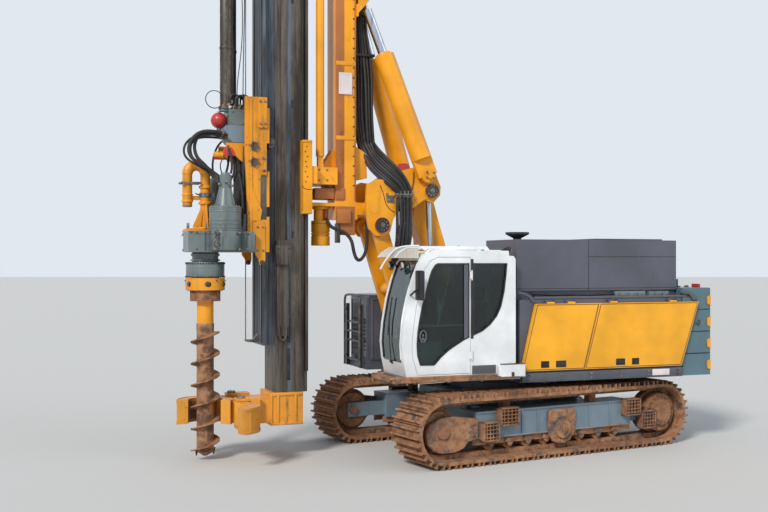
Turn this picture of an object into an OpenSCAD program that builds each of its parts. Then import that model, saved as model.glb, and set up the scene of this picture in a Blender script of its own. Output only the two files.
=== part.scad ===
// Tracked piling and drilling rig: crawler carrier, parallel boom, mast support, sliding
// leader and a sledge with a rotary drive and auger. Millimetres, +X towards the mast,
// +Y towards the cab, +Z up, ground at z = 0, origin under the middle of the whole rig.

/* [Undercarriage] */
// Slewing axis, measured from the origin along X
slew_x = -1060; // [-1200:5:-900]
// Turn of the tracks under the house, as parked
track_yaw = 10; // [0:1:15]
// Distance between idler and sprocket axles
wheel_base = 4000; // [3600:10:4200]
// Distance between the middles of the two tracks
gauge = 2500; // [2400:10:2700]
// Width of a track shoe
shoe_w = 700; // [500:10:800]
// Radius of the chain's outer face round the end wheels
chain_r = 412; // [400:1:430]
// Thickness of a shoe's plate
shoe_t = 34; // [20:1:40]
// Height of the lugs over the plate
lug_h = 54; // [30:1:60]
// Number of shoes on a track
shoe_count = 56; // [48:1:60]
// Width of the chain inside the shoes
chain_w = 250; // [200:5:300]
// Depth of the chain links
chain_t = 80; // [60:1:90]

// How much closer to its axle the chain runs round an end wheel
wheel_relief = 6; // [5:1:8]

/* [House] */
// Underside of the deck
deck_z = 1080; // [1060:5:1140]
// Height of the deck frame
deck_h = 150; // [120:5:200]
// Half of the width over the side doors
house_half = 1500; // [1450:10:1550]
// Front of the machine house, ahead of the slewing axis
house_front = 350; // [300:10:360]
// Rear of the machine house, behind the slewing axis
house_rear = 2400; // [2300:10:2400]
// Top of the side doors
door_top_z = 2215; // [2150:5:2230]
// Underside of the upper hood
hood_z = 2400; // [2380:5:2500]
// Top of the upper hood
hood_top_z = 3150; // [2900:10:3200]
// Half of the upper hood's width
hood_half = 1300; // [1200:10:1350]
// Inner side of the hood's high half, to the cab's side of the middle
hood_step_y = 270; // [100:10:500]
// Top of the hood's low half
hood_low_z = 2860; // [2700:10:2900]
// Thickness of the sheet metal walls
sheet = 40; // [20:1:50]
// Thickness of the side doors
side_door_t = 60; // [40:1:70]
// Length of the counterweight
cw_len = 505; // [400:5:600]
// Number of slabs in the counterweight
cw_slabs = 4; // [2:1:6]
// Top of the counterweight
cw_top_z = 2430; // [2200:10:2500]

/* [Cab] */
// Outer face of the cab's left side
cab_y1 = 1490; // [1460:5:1500]
// Width of the cab
cab_w = 900; // [860:5:900]
// Rear face of the cab
cab_x0 = 445; // [420:5:450]
// Top of the cab's roof
cab_top_z = 3050; // [2950:10:3100]
// Thickness of the cab's walls and door
cab_wall = 45; // [35:1:60]
// Thickness of the window glass
glass_t = 8; // [5:1:12]

/* [Boom] */
// Length of the two links of the parallel boom
link_len = 1966; // [1900:5:2050]
// Lean of the links from upright, as parked
link_lean = 17; // [12:0.5:22]
// Front foot pin ahead of the slewing axis
foot_x = 1525; // [1500:5:1560]
// Height of the front foot pin
foot_z = 1480; // [1460:5:1520]
// Radius of the main boom pins
pin_r = 70; // [50:1:80]
// Radial clearance of a pin in its bore
pin_gap = 0.08; // [0.02:0.01:0.1]
// Extra radius in a rod's eye, which lets its end drift on its pin
eye_drift = 20; // [18:1:30]
// Thickness of the knuckle's side plates
cheek_t = 60; // [40:1:70]
// Radius of the boom lift cylinders
lift_r = 78; // [60:1:85]
// Radius of the mast's two inclination cylinders
incline_r = 155; // [120:1:160]

/* [Mast] */
// Rear face of the leader ahead of the slewing axis
leader_x = 3200; // [3180:5:3240]
// Depth of the leader's box
leader_d = 480; // [420:5:500]
// Half of the leader's width
leader_half = 300; // [260:5:320]
// Lower end of the leader
leader_z = 950; // [900:10:1000]
// Upper end of the leader's box
leader_top_z = 14600; // [12000:50:15000]
// Depth of the front rail
rail_d = 180; // [150:5:220]
// Lower end of the front rail
rail_z = 1630; // [1500:10:1800]
// Auger axis ahead of the slewing axis
auger_x = 4622; // [4600:2:4660]
// Radius of the auger's flight
flight_r = 210; // [180:5:225]
// Angle at which the left jaw stands open at rest
jaw_open = 100; // [0:5:100]
// Radius of the auger's tube
auger_r = 122; // [100:2:140]
// Rise of the flight in one turn
flight_pitch = 310; // [250:10:400]
// Height of the auger's tip as parked
auger_tip_z = 60; // [50:5:150]

/* [Hidden] */
$fn = 48;
seat = 0.3;

yellow = [0.93, 0.62, 0.10];
hood_grey = [0.27, 0.28, 0.32];
weight_grey = [0.32, 0.45, 0.49];
cab_white = [0.93, 0.93, 0.92];
mast_brown = [0.35, 0.33, 0.30];
drive_grey = [0.42, 0.48, 0.47];
black = [0.08, 0.08, 0.09];
mud = [0.42, 0.29, 0.21];
chrome = [0.80, 0.82, 0.84];
glass = [0.18, 0.24, 0.28, 0.6];

// Undercarriage
axle_z = chain_r + shoe_t + lug_h;
shoe_skin = 12;
link_r = chain_r - shoe_skin / 2;
drum_r = chain_r - chain_t;
wheel_r = chain_r - wheel_relief;
chain_path = 2 * wheel_base + 2 * PI * chain_r;
shoe_pitch = chain_path / shoe_count;
lug_w = 24;
frame_half = 200;
frame_top = axle_z + 230;
frame_bottom = axle_z - 150;
yoke_t = 30;
roller_w = chain_w - 20;
roller_r = 88;
roller_count = 8;
carrier_x = 800;
ring_r = 700;
ring_h = 90;

tow_r = 40;

// Deck and house
deck_top = deck_z + deck_h;
ring_z = deck_z - ring_h;
house_y = house_half - side_door_t - 5;
engine_len = 1600;
exhaust_at = [170, 1000];
exhaust_r = 60;
exhaust_cap_r = 175;

// Side doors: slanted ends, as x at the bottom edge and at the top edge
door_bottom_z = 1250;
door_gap = 10;
door_front = [350, 120];
door_split = [-680, -930];
door_rear = [-2360, -2670];
side_hinge_y = house_half - side_door_t / 2;
side_hinge_z = door_top_z + 12;
side_hinge_r = 14;

// Cab outline in the side view
cab_y0 = cab_y1 - cab_w;
cab_z = deck_top + seat;
cab_roof_z = cab_top_z - 70;
cab_outline = [
    [cab_x0, cab_z], [2120, cab_z], [2168, 1450], [2190, 1680], [2166, 1950], [2106, 2290], [2030, 2570],
    [1945, 2790], [1840, cab_roof_z - 50], [1700, cab_roof_z], [cab_x0 + 110, cab_roof_z],
    [cab_x0 + 105, cab_roof_z - 70], [cab_x0 + 30, cab_roof_z - 76], [cab_x0, cab_roof_z - 120]
];
door_x = [1150, 2041];
door_z = [cab_z + 20, cab_roof_z - 90];
cab_door_outline = [
    [door_x[0], door_z[0]], [1955, door_z[0]], [door_x[1] - 6, 1504], [door_x[1], 1676], [door_x[1] - 15, 1848],
    [1989, 2123], [1942, 2364], [1896, 2571], [1848, 2727], [1772, 2833], [1650, door_z[1]], [door_x[0], door_z[1]]
];
door_pane = [
    [1172, 2804], [1172, 1757], [1247, 1725], [1390, 1642], [1486, 1583], [1599, 1491], [1703, 1381], [1920, 1385],
    [1962, 1519], [1972, 1675], [1960, 1847], [1932, 2019], [1893, 2208], [1848, 2363], [1787, 2600], [1750, 2700],
    [1700, 2778], [1656, 2804]
];
quarter_pane = [
    [1112, 2804], [579, 2804], [594, 2635], [624, 2404], [673, 2191], [742, 2050], [850, 1928], [967, 1842], [1112, 1782]
];
visor = [
    [1894, 3043], [2084, 3033], [2197, 2962], [2262, 2890], [2244, 2878], [2184, 2945], [2076, 3012], [1894, 3020]
];
windscreen_x = 1850;
windscreen_z = [1420, 2840];
cab_door_gap = 6;
far_pane = [[700, 1650], [1800, 2800]];
back_pane_z = [2000, far_pane[1][1]];
cab_hinge_x = door_x[0] - 12;
cab_hinge_y = cab_y1 + 18;
cab_hinge_z = [door_z[0] + 206, door_z[1] - 306];
cab_hinge_h = 100;
cab_pin_r = 6;
cabinet_x = [900, 1950];
cabinet_y = -570;
cabinet_z = 2290;
ladder_x = cabinet_x[1] + 50;
ladder_y = [-1400, -700];

// Boom pins in the side view
foot = [foot_x, foot_z];
lean = [sin(link_lean), cos(link_lean)];
head = foot + link_len * lean;
head_offset = [-790, 520];
rear_foot = foot + head_offset;
rear_head = head + head_offset;
lift_foot = [1200, 1450];
incline_foot = head + [-699.8, 739.9];
tilt_pin = head + [115.2, 239.9];
incline_y0 = 500;
incline_y1 = 140;

// Layers across the boom, half widths
link_y = 150;
inner_y = [165, 215];
arm_y = [235, 335];
cheek_y = [350, 350 + cheek_t];
cap_y = cheek_y[1] + 45;
cap_r = 115;
clamp_y = cheek_y[1] + 22;
knuckle_hose_r = 24;
eye_r = 150;
lift_pin_r = 60;
top_pin_r = 45;
lift_barrel_len = 1500;
lift_rod_r = 42;
lift_neck_r = 46;
lift_neck_len = 340;
lift_rod_z = 680;
incline_rod_r = 70;
incline_barrel_len = 1900;
incline_neck_t = 38;
incline_neck_len = 260;
incline_bore_z = 330;
incline_rod_z = 800;
incline_tail = 190;
incline_ear_y = [[66, 86], [222, 245]];
incline_head_x = 2295;
incline_head_rise = 3150;
incline_head = [incline_head_x, tilt_pin[1] + incline_head_rise];
hose_clamp_at = head + [-449.8, 439.9];

// Mast
rail_x = leader_x + leader_d;
rail_front = rail_x + rail_d;
sledge_x = 4030;
flange_t = 40;
flange_half = leader_half + 60;
rail_half = 280;
rail_flange = 340;
claw_gap = 0.5;
beam_x = [2420, 2740];
beam_half = 200;
beam_top = 8200;
beam_low = tilt_pin[1] + 80;
motor_seat_z = beam_low - 40;
hose_fins = [4600, 5600, beam_top - 900];
shift_x = 2990;
shift_y = 250;
shift_r = 62;
shift_rod_r = 35;
saddle_half = leader_half + claw_gap - seat;
saddles = [[3950, 4200], [beam_top - 700, beam_top - 450]];
claw_z = [3510, beam_top - 1100];
claw_h = 1060;
claw_x = 3165;
saddle_z = saddles[0][1];
hose_fin = 8;
mast_hose_r = 20;
shift_z = beam_top - 3840;
shift_len = 3000;
sheave_r = 230;
sheave_z = leader_top_z + 270;
mast_wall = 25;
sheave_front_x = auger_x - 340;
sheave_rear_x = leader_x - 60;

// Sledge and drive
sledge_z = [2950, 5150];
box_z = [2960, 3249];
box_outline = [[3985, -430], [4720, -430], [4900, -220], [4900, 220], [4720, 430], [3985, 430]];
motor_x = 4405;
motor_y = 350;
motor_r = 225;
spindle_top = box_z[0] - seat;
drive_x = sledge_x + 60 + seat;
arch_z = 4066;
arch_r = 128;
manifold_z = [4505 + seat, 4990];
manifold_front = 4350;
store_at = [4438, 60, 4840];
store_r = 115;
tube_at = [[4350, 120], [4235, -120]];
tube_r = 85;
tube_len = 2600;
jaw_z = [520, 860];
jaw_pin = [4180, 330];
jaw_pin_r = 50;
collar_r = 395;

// Half of a pattern and its mirror image across the middle of the rig
module both_sides() {
    children();
    mirror([0, 1, 0]) children();
}

// A plate with this outline in the side view, from y0 to y1
module plate(outline, y0, y1) {
    translate([0, y1, 0]) rotate([90, 0, 0]) linear_extrude(y1 - y0) polygon(outline);
}

// A round bar across the rig at p = [x, z], from y0 to y1
module cross_bar(p, r, y0, y1) {
    translate([p[0], y1, p[1]]) rotate([90, 0, 0]) cylinder(r = r, h = y1 - y0);
}

// A flat bar between two points of the side view, from y0 to y1
module link_bar(p, q, half, y0, y1) {
    along = (q - p) / norm(q - p);
    across = half * [-along[1], along[0]];
    plate([p + across, q + across, q - across, p - across], y0, y1);
}

// A box from its low corner to its high corner
module block(low, high) {
    translate(low) cube(high - low);
}

// Convex outline moved inwards by d on every side
function inset(points, d) = let (n = len(points)) [
    for (i = [0 : n - 1]) let (
        a = points[(i + n - 1) % n], b = points[i], c = points[(i + 1) % n],
        u = (b - a) / norm(b - a), v = (c - b) / norm(c - b),
        m = [-u[1] - v[1], u[0] + v[0]]
    ) b + m * d / (1 + u * v)
];

// Outline drawn in by a seating gap towards point c
function shrink(points, c) = [for (p = points) p + 3 * seat * (c - p) / norm(c - p)];

// Tube swept along a list of points that never run straight across the rig
function sweep_frame(path, i) = let (
    n = len(path),
    d = path[min(i + 1, n - 1)] - path[max(i - 1, 0)],
    t = d / norm(d),
    u = cross([0, 1, 0], t) / norm(cross([0, 1, 0], t))
) [u, cross(t, u)];
module hose(path, r, sides = 8) {
    n = len(path);
    rings = [for (i = [0 : n - 1]) let (f = sweep_frame(path, i))
        for (k = [0 : sides - 1]) path[i] + r * (cos(360 * k / sides) * f[0] + sin(360 * k / sides) * f[1])];
    walls = [for (i = [0 : n - 2]) for (k = [0 : sides - 1])
        [i * sides + k, (i + 1) * sides + k, (i + 1) * sides + (k + 1) % sides, i * sides + (k + 1) % sides]];
    first = [for (k = [0 : sides - 1]) k];
    last = [for (k = [sides - 1 : -1 : 0]) (n - 1) * sides + k];
    polyhedron(rings, concat(walls, [first, last]));
}

// Points along the curve with these four control points
function bend(p, n) = [for (i = [0 : n]) let (t = i / n, u = 1 - t)
    u * u * u * p[0] + 3 * u * u * t * p[1] + 3 * u * t * t * p[2] + t * t * t * p[3]];

// Frames of the two halves of the machine
module on_house() { translate([slew_x, 0, 0]) children(); }
module on_tracks() { translate([slew_x, 0, 0]) rotate([0, 0, track_yaw]) children(); }

// Undercarriage

// Place on the chain's path at distance s: [x, z, turn]
function chain_at(s) = let (
    half_turn = PI * chain_r,
    a = (s - wheel_base) / chain_r * 180 / PI,
    b = (s - 2 * wheel_base - half_turn) / chain_r * 180 / PI
)
    s < wheel_base ? [s - wheel_base / 2, axle_z + chain_r, 0] :
    s < wheel_base + half_turn ?
        [wheel_base / 2 + wheel_r * sin(a), axle_z + wheel_r * cos(a), -a] :
    s < 2 * wheel_base + half_turn ?
        [wheel_base / 2 - (s - wheel_base - half_turn), axle_z - chain_r, -180] :
        [-wheel_base / 2 - wheel_r * sin(b), axle_z - wheel_r * cos(b), -180 - b];

// Outline of one shoe: along the chain, outwards
function shoe_outline() = let (e = shoe_pitch / 2 - 4, g = shoe_pitch * 0.3, w = lug_w / 2)
    [[-e, 0], [-e, shoe_t], [-g - w, shoe_t], [-g - w, shoe_t + lug_h], [-g + w, shoe_t + lug_h],
     [-g + w, shoe_t], [g - w, shoe_t], [g - w, shoe_t + lug_h], [g + w, shoe_t + lug_h],
     [g + w, shoe_t], [e, shoe_t], [e, 0]];

module stadium(r) {
    translate([0, axle_z]) {
        square([wheel_base, 2 * r], center = true);
        for (s = [-1, 1]) translate([s * wheel_base / 2, 0]) circle(r - wheel_relief, $fn = 64);
    }
}

module track_loop() {
    outline = [for (i = [0 : shoe_count - 1]) let (c = chain_at((i + 0.5) * shoe_pitch))
        for (p = shoe_outline())
            [c[0] + p[0] * cos(c[2]) - p[1] * sin(c[2]), c[1] + p[0] * sin(c[2]) + p[1] * cos(c[2])]];
    color(mud) {
        translate([0, shoe_w / 2, 0]) rotate([90, 0, 0]) linear_extrude(shoe_w)
            difference() { polygon(outline); stadium(chain_r - shoe_skin); }
        translate([0, chain_w / 2, 0]) rotate([90, 0, 0]) linear_extrude(chain_w)
            difference() { stadium(link_r); stadium(drum_r); }
    }
}

module track_frame() {
    color(weight_grey) difference() {
        union() {
            block([-1420, -frame_half, frame_bottom], [1420, frame_half, frame_top]);
            for (s = [-1, 1]) translate([0, s * (roller_w / 2 + 10 + yoke_t / 2), 0]) {
                block([-1450, -yoke_t / 2, frame_bottom - 90], [1450, yoke_t / 2, frame_bottom + 1]);
                for (e = [-1, 1]) block([e > 0 ? 1400 : -wheel_base / 2 - 90, -yoke_t / 2, axle_z - 110],
                    [e > 0 ? wheel_base / 2 + 90 : -1400, yoke_t / 2, axle_z + 110]);
            }
        }
        for (s = [-1, 1]) cross_bar([s * wheel_base / 2, axle_z], 60 + seat, -frame_half, frame_half);
        block([-1300, -roller_w / 2 - 10, frame_bottom - 100], [1300, roller_w / 2 + 10, frame_bottom + 60]);
    }
}

module wheels() {
    color(mud) {
        for (s = [-1, 1]) {
            cross_bar([s * wheel_base / 2, axle_z], drum_r - wheel_relief - seat, -60, 60);
            cross_bar([s * wheel_base / 2, axle_z], drum_r - wheel_relief - 60, -roller_w / 2, roller_w / 2);
            cross_bar([s * wheel_base / 2, axle_z], 60, -frame_half, frame_half);
        }
        for (i = [0 : roller_count - 1]) {
            x = -1150 + i * 2300 / (roller_count - 1);
            cross_bar([x, axle_z - drum_r + roller_r + seat], roller_r, -roller_w / 2, roller_w / 2);
            cross_bar([x, axle_z - drum_r + roller_r + seat], 30, -roller_w / 2 - 10 + seat, roller_w / 2 + 10 - seat);
        }
        for (s = [-1, 1]) translate([s * carrier_x, 0, 0])
            block([-60, -60, frame_top + seat], [60, 60, axle_z + drum_r - seat]);
    }
}

// side = 1 on the left, -1 on the right
module track_unit(side) {
    translate([0, side * gauge / 2, 0]) scale([1, side, 1]) children();
}

module carbody() {
    color(weight_grey) {
        block([-1050, -650, 440], [1050, 650, ring_z - 100]);
        for (s = [-1, 1]) block([s * 780 - 190, -gauge / 2 + frame_half + seat, 440],
            [s * 780 + 190, gauge / 2 - frame_half - seat, frame_top - 20]);
        translate([0, 0, ring_z - 101]) cylinder(r = ring_r + 30, h = 90, $fn = 96);
        translate([0, 0, ring_z - 12]) cylinder(r = ring_r, h = 12 - seat, $fn = 96);
        for (s = [-1, 1]) difference() {
            block([s > 0 ? 1049 : -1200, -30, 500], [s > 0 ? 1200 : -1049, 30, 640]);
            cross_bar([s * 1130, 570], tow_r, -31, 31);
        }
    }
}

// House

module deck() {
    color(hood_grey) {
        block([-house_rear, -540, deck_z], [1760, 540, deck_top]);
        block([-house_rear, -house_y, deck_z], [house_front, house_y, deck_top]);
        block([house_front, cab_y0 - 60, deck_z + 60], [2200, house_half - 30, deck_top]);
        block([house_front, -house_half + 30, deck_z + 60], [2000, -540, deck_top]);
        translate([0, 0, ring_z]) cylinder(r = ring_r, h = ring_h + 1, $fn = 96);
        both_sides() boom_brackets();
    }
}

// Plates on the deck that carry the boom's feet and the lift cylinders, left half
module boom_brackets() {
    outer = [[950, deck_top - 1], [1720, deck_top - 1], [foot[0] + 120, foot[1] + 60],
             [foot[0] + 60, foot[1] + 130], [foot[0] - 60, foot[1] + 130], [lift_foot[0], lift_foot[1] + 110],
             [lift_foot[0] - 110, lift_foot[1] + 40]];
    inner = [[500, deck_top - 1], [1380, deck_top - 1], [lift_foot[0] + 110, lift_foot[1] + 60],
             [rear_foot[0] + 130, rear_foot[1] + 40], [rear_foot[0] + 50, rear_foot[1] + 130],
             [rear_foot[0] - 60, rear_foot[1] + 130], [rear_foot[0] - 150, rear_foot[1]]];
    plate(outer, cheek_y[0], cheek_y[1]);
    plate(inner, inner_y[0], inner_y[1]);
    cross_bar(foot, pin_r, 0, cap_y);
    cross_bar(rear_foot, pin_r, 0, inner_y[1] + 30);
    cross_bar(lift_foot, lift_pin_r, inner_y[0], cap_y);
}

module counterweight() {
    slab = (cw_top_z - deck_z) / cw_slabs;
    color(weight_grey) {
        for (i = [0 : cw_slabs - 1]) block([-house_rear - 25 - cw_len, -1430, deck_z + i * slab + 6],
            [-house_rear - 25, 1430, deck_z + (i + 1) * slab - 6]);
        block([-house_rear - 15 - cw_len, -1410, deck_z + 6], [-house_rear - 26, 1410, cw_top_z - 6]);
        block([-house_rear - 26, -540, deck_z + 20], [-house_rear - seat, 540, deck_top]);
        for (s = [-1, 1]) difference() {
            block([-house_rear - 300, s * 900 - 30, cw_top_z - 7], [-house_rear - 120, s * 900 + 30, cw_top_z + 120]);
            cross_bar([-house_rear - 210, cw_top_z + 60], 35, s * 900 - 40, s * 900 + 40);
        }
    }
}

// Outline of a side door from its front edge to its rear edge
function door_outline(front, rear, margin) = [
    [rear[0] + margin, door_bottom_z + margin], [front[0] - margin, door_bottom_z + margin],
    [front[1] - margin, door_top_z - margin], [rear[1] + margin, door_top_z - margin]
];

module side_door(front, rear) {
    color(yellow) {
        plate(door_outline(front, rear, 0), house_half - side_door_t, house_half);
        for (x = [rear[1] + 450, front[1] - 250]) {
            translate([x - 60, side_hinge_y, side_hinge_z]) rotate([0, 90, 0]) cylinder(r = side_hinge_r, h = 120);
            block([x - 60, side_hinge_y - 6, door_top_z - 1], [x + 60, side_hinge_y + 6, side_hinge_z]);
        }
    }
}

// Ears beside the hinge tubes of one side door
module hinge_ears(front, rear) {
    for (x = [rear[1] + 450, front[1] - 250]) for (s = [-1, 1])
        translate([x + s * (75 + seat), 0, 0]) {
            block([-15, house_y - 41, side_hinge_z + 20], [15, side_hinge_y + 10, side_hinge_z + 40]);
            block([-15, side_hinge_y - 12, side_hinge_z - 8], [15, side_hinge_y + 6, side_hinge_z + 21]);
        }
}

module machine_house() {
    color(hood_grey) {
        difference() {
            block([-house_rear, -house_y, deck_top + seat], [house_front, house_y, door_top_z + 60]);
            block([-house_rear + sheet, -house_y + sheet, deck_top - 2],
                [house_front - sheet, house_y - sheet, door_top_z + 20]);
            for (m = [0, 1]) mirror([0, m, 0]) {
                plate(door_outline(door_front, door_split + [door_gap, door_gap], 110), house_y - sheet - 1, house_y + 1);
                plate(door_outline(door_split, [-house_rear, -house_rear], 110), house_y - sheet - 1, house_y + 1);
            }
            block([-house_rear + 300, -hood_half + 90, door_top_z], [house_front - 300, hood_half - 90, door_top_z + 61]);
        }
        difference() {
            block([-house_rear, -hood_half + 40, door_top_z + 59], [house_front - 20, hood_half - 40, hood_z - seat]);
            block([-house_rear + sheet, -hood_half + 80, door_top_z + 58],
                [house_front - 60, hood_half - 80, hood_z + 1]);
        }
        for (m = [0, 1]) mirror([0, m, 0]) {
            hinge_ears(door_front, door_split + [door_gap, door_gap]);
            hinge_ears(door_split, door_rear);
        }
    }
}

module engine_hood() {
    front = house_front - 20;
    color(hood_grey) difference() {
        union() {
            block([-house_rear, -hood_half, hood_z], [front, hood_step_y + 1, hood_low_z]);
            block([-house_rear, hood_step_y, hood_z], [front, hood_half, hood_top_z]);
        }
        block([-house_rear + sheet, -hood_half + sheet, hood_z - 1],
            [front - sheet, hood_half - sheet, hood_low_z - sheet]);
        block([-house_rear + sheet, hood_step_y + sheet, hood_low_z - sheet - 1],
            [front - sheet, hood_half - sheet, hood_top_z - sheet]);
    }
}

module engine() {
    color(drive_grey) block([-1900, -450, deck_top + seat], [-1900 + engine_len, 450, 2150]);
}

module exhaust() {
    color(black) translate([exhaust_at[0], exhaust_at[1], hood_top_z + seat]) {
        cylinder(r = exhaust_r, h = 21);
        translate([0, 0, 20]) cylinder(r1 = exhaust_r, r2 = exhaust_cap_r, h = 61);
        translate([0, 0, 80]) cylinder(r = exhaust_cap_r, h = 30);
    }
}

// Cab

module cab_shell() {
    color(cab_white) difference() {
        plate(cab_outline, cab_y0, cab_y1);
        plate(inset(cab_outline, cab_wall), cab_y0 + cab_wall, cab_y1 - cab_wall);
        plate(cab_door_outline, cab_y1 - cab_wall - 1, cab_y1 + 1);
        plate(quarter_pane, cab_y1 - cab_wall - 1, cab_y1 + 1);
        block([far_pane[0][0], cab_y0 - 1, far_pane[0][1]],
            [far_pane[1][0], cab_y0 + cab_wall + 1, far_pane[1][1]]);
        block([cab_x0 - 1, cab_y0 + 150, back_pane_z[0]],
            [cab_x0 + cab_wall + 1, cab_y1 - 150, back_pane_z[1]]);
        block([windscreen_x, cab_y0 + 80, windscreen_z[0]], [2300, cab_y1 - 80, windscreen_z[1]]);
    }
    color(cab_white) for (z = cab_hinge_z) {
        for (e = [z - 20 - seat, z + cab_hinge_h + seat])
            block([cab_hinge_x - 8, cab_y1 - 1, e], [cab_hinge_x + 8, cab_hinge_y + 8, e + 20]);
        translate([cab_hinge_x, cab_hinge_y, z - 19]) cylinder(r = cab_pin_r, h = cab_hinge_h + 38);
    }
}

module cab_glass() {
    color(glass) {
        plate(shrink(quarter_pane, [900, 2500]), cab_y1 - 30, cab_y1 - 30 + glass_t);
        block([far_pane[0][0] + seat, cab_y0 + 20, far_pane[0][1] + seat],
            [far_pane[1][0] - seat, cab_y0 + 20 + glass_t, far_pane[1][1] - seat]);
        block([cab_x0 + 20, cab_y0 + 150 + seat, back_pane_z[0] + seat],
            [cab_x0 + 20 + glass_t, cab_y1 - 150 - seat, back_pane_z[1] - seat]);
        intersection() {
            difference() {
                plate(inset(cab_outline, 15), cab_y0 + 80 + seat, cab_y1 - 80 - seat);
                plate(inset(cab_outline, 15 + glass_t), cab_y0, cab_y1);
            }
            block([windscreen_x + seat, cab_y0, windscreen_z[0] + seat], [2300, cab_y1, windscreen_z[1] - seat]);
        }
    }
}

module cab_guard() {
    color(cab_white) {
        plate(visor, cab_y0 + 90, cab_y1 - 90);
        for (y = [cab_y0 + 60, cab_y1 - 100])
            plate([[820, cab_roof_z + seat], [900, cab_roof_z + seat], [930, 3005], [1780, 3005],
                [1800, cab_roof_z + 6], [1830, cab_roof_z + 6], [1895, 3021], [1895, 3042], [870, 3042]], y, y + 40);
    }
}

module operator_seat() {
    mid = (cab_y0 + cab_y1) / 2;
    color(black) {
        block([850, mid - 200, cab_z + cab_wall + seat], [1250, mid + 200, cab_z + 350]);
        block([800, mid - 250, cab_z + 349], [1330, mid + 250, cab_z + 520]);
        block([760, mid - 240, cab_z + 500], [900, mid + 240, cab_z + 1250]);
    }
}

module mirror_arm() {
    color(black) {
        block([2045, cab_y1 + seat, 2350], [2070, cab_y1 + 90, 2375]);
        block([1955, cab_y1 + 60, 2300], [2010, cab_y1 + 240, 2700]);
        block([1990, cab_y1 + 61, 2351], [2069, cab_y1 + 89, 2374]);
    }
}

module walkway() {
    color(mud) {
        block([430, house_half - 30 + seat, deck_top - 70], [2350, house_half + 90, deck_top - 20]);
        block([2200 + seat, cab_y0 + 100, deck_top - 70], [2350, house_half - 28, deck_top - 20]);
    }
}

module front_cabinet() {
    color(hood_grey) difference() {
        block([cabinet_x[0], -house_half + 40, deck_top + seat], [cabinet_x[1], cabinet_y, cabinet_z]);
        block([cabinet_x[0] + sheet, -house_half + 40 + sheet, deck_top],
            [cabinet_x[1] - sheet, cabinet_y - sheet, cabinet_z - sheet]);
    }
}

module front_ladder() {
    color(hood_grey) {
        for (y = ladder_y) block([ladder_x + seat, y - 20, 1150], [ladder_x + 50, y + 20, 2150]);
        for (z = [1250, 1550, 1850]) block([ladder_x + 10, ladder_y[0], z], [ladder_x + 45, ladder_y[1], z + 30]);
    }
}

module cab_door() {
    edge = inset(cab_door_outline, cab_door_gap);
    low_x = door_x[0] + cab_door_gap;
    color(cab_white) {
        difference() {
            plate(edge, cab_y1 - cab_wall, cab_y1);
            plate(door_pane, cab_y1 - cab_wall - 1, cab_y1 + 1);
        }
        for (z = cab_hinge_z) translate([0, 0, z]) difference() {
            union() {
                translate([cab_hinge_x, cab_hinge_y, 0]) cylinder(r = 12, h = cab_hinge_h);
                block([cab_hinge_x, cab_hinge_y - 5, 0], [low_x + 12, cab_hinge_y + 5, cab_hinge_h]);
                block([low_x + 2, cab_y1 - 1, 0], [low_x + 12, cab_hinge_y, cab_hinge_h]);
            }
            translate([cab_hinge_x, cab_hinge_y, -1]) cylinder(r = cab_pin_r + pin_gap, h = cab_hinge_h + 2);
        }
    }
}

module door_glass() {
    color(glass) plate(shrink(door_pane, [1600, 2200]), cab_y1 - 30, cab_y1 - 30 + glass_t);
}

// Boom

module boom() {
    mid = (foot + head) / 2;
    color(yellow) {
        difference() {
            union() {
                both_sides() {
                    link_bar(foot, head, 115, arm_y[0], arm_y[1]);
                    cross_bar(foot, eye_r - 10, arm_y[0], arm_y[1]);
                    cross_bar(head, eye_r - 10, arm_y[0], arm_y[1]);
                }
                cross_bar(mid, 90, -arm_y[0] - 1, arm_y[0] + 1);
            }
            cross_bar(foot, pin_r + pin_gap, -arm_y[1] - 1, arm_y[1] + 1);
            cross_bar(head, pin_r + pin_gap, -arm_y[1] - 1, arm_y[1] + 1);
        }
    }
}

module rear_link() {
    color(yellow) difference() {
        union() {
            plate([rear_foot + [-110, 0], rear_foot + [110, 0], rear_head + [190, -420], rear_head + [110, 0],
                rear_head + [-110, 0], rear_head + [-230, -420]], -link_y, link_y);
            cross_bar(rear_foot, eye_r - 10, -link_y, link_y);
            cross_bar(rear_head, eye_r - 10, -link_y, link_y);
        }
        cross_bar(rear_foot, pin_r + pin_gap, -link_y - 1, link_y + 1);
        cross_bar(rear_head, pin_r + pin_gap, -link_y - 1, link_y + 1);
    }
}

module knuckle() {
    cheek = [for (p = [
        [217, 599], [235, 340], [225, 120], [186, -58], [90, -150], [-30, -165], [-140, -100],
        [-188, 79], [-251, 198], [-521, 269], [-700, 390], [-826, 340], [-940, 460], [-950, 590],
        [-907, 687], [-840, 870], [-521, 870], [-283, 804], [-78, 665], [60, 680]
    ]) head + p];
    color(yellow) {
        difference() {
            both_sides() plate(cheek, cheek_y[0], cheek_y[1]);
            cross_bar(tilt_pin, pin_r + pin_gap, -500, 500);
        }
        cross_bar(head, pin_r, -cap_y, cap_y);
        cross_bar(rear_head, pin_r, -cap_y, cap_y);
        both_sides() {
            cross_bar(head, cap_r, cheek_y[1] - 1, cap_y);
            cross_bar(rear_head, cap_r, cheek_y[1] - 1, cap_y);
            cross_bar(incline_foot, top_pin_r, cheek_y[1] - 1, incline_y0 + 110);
        }
        cross_bar(head + [-280, 540], 120, -cheek_y[0] - 1, cheek_y[0] + 1);
        block([hose_clamp_at[0], cheek_y[1] - 1, hose_clamp_at[1]],
            [hose_clamp_at[0] + 340, clamp_y, hose_clamp_at[1] + 60]);
    }
}

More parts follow.
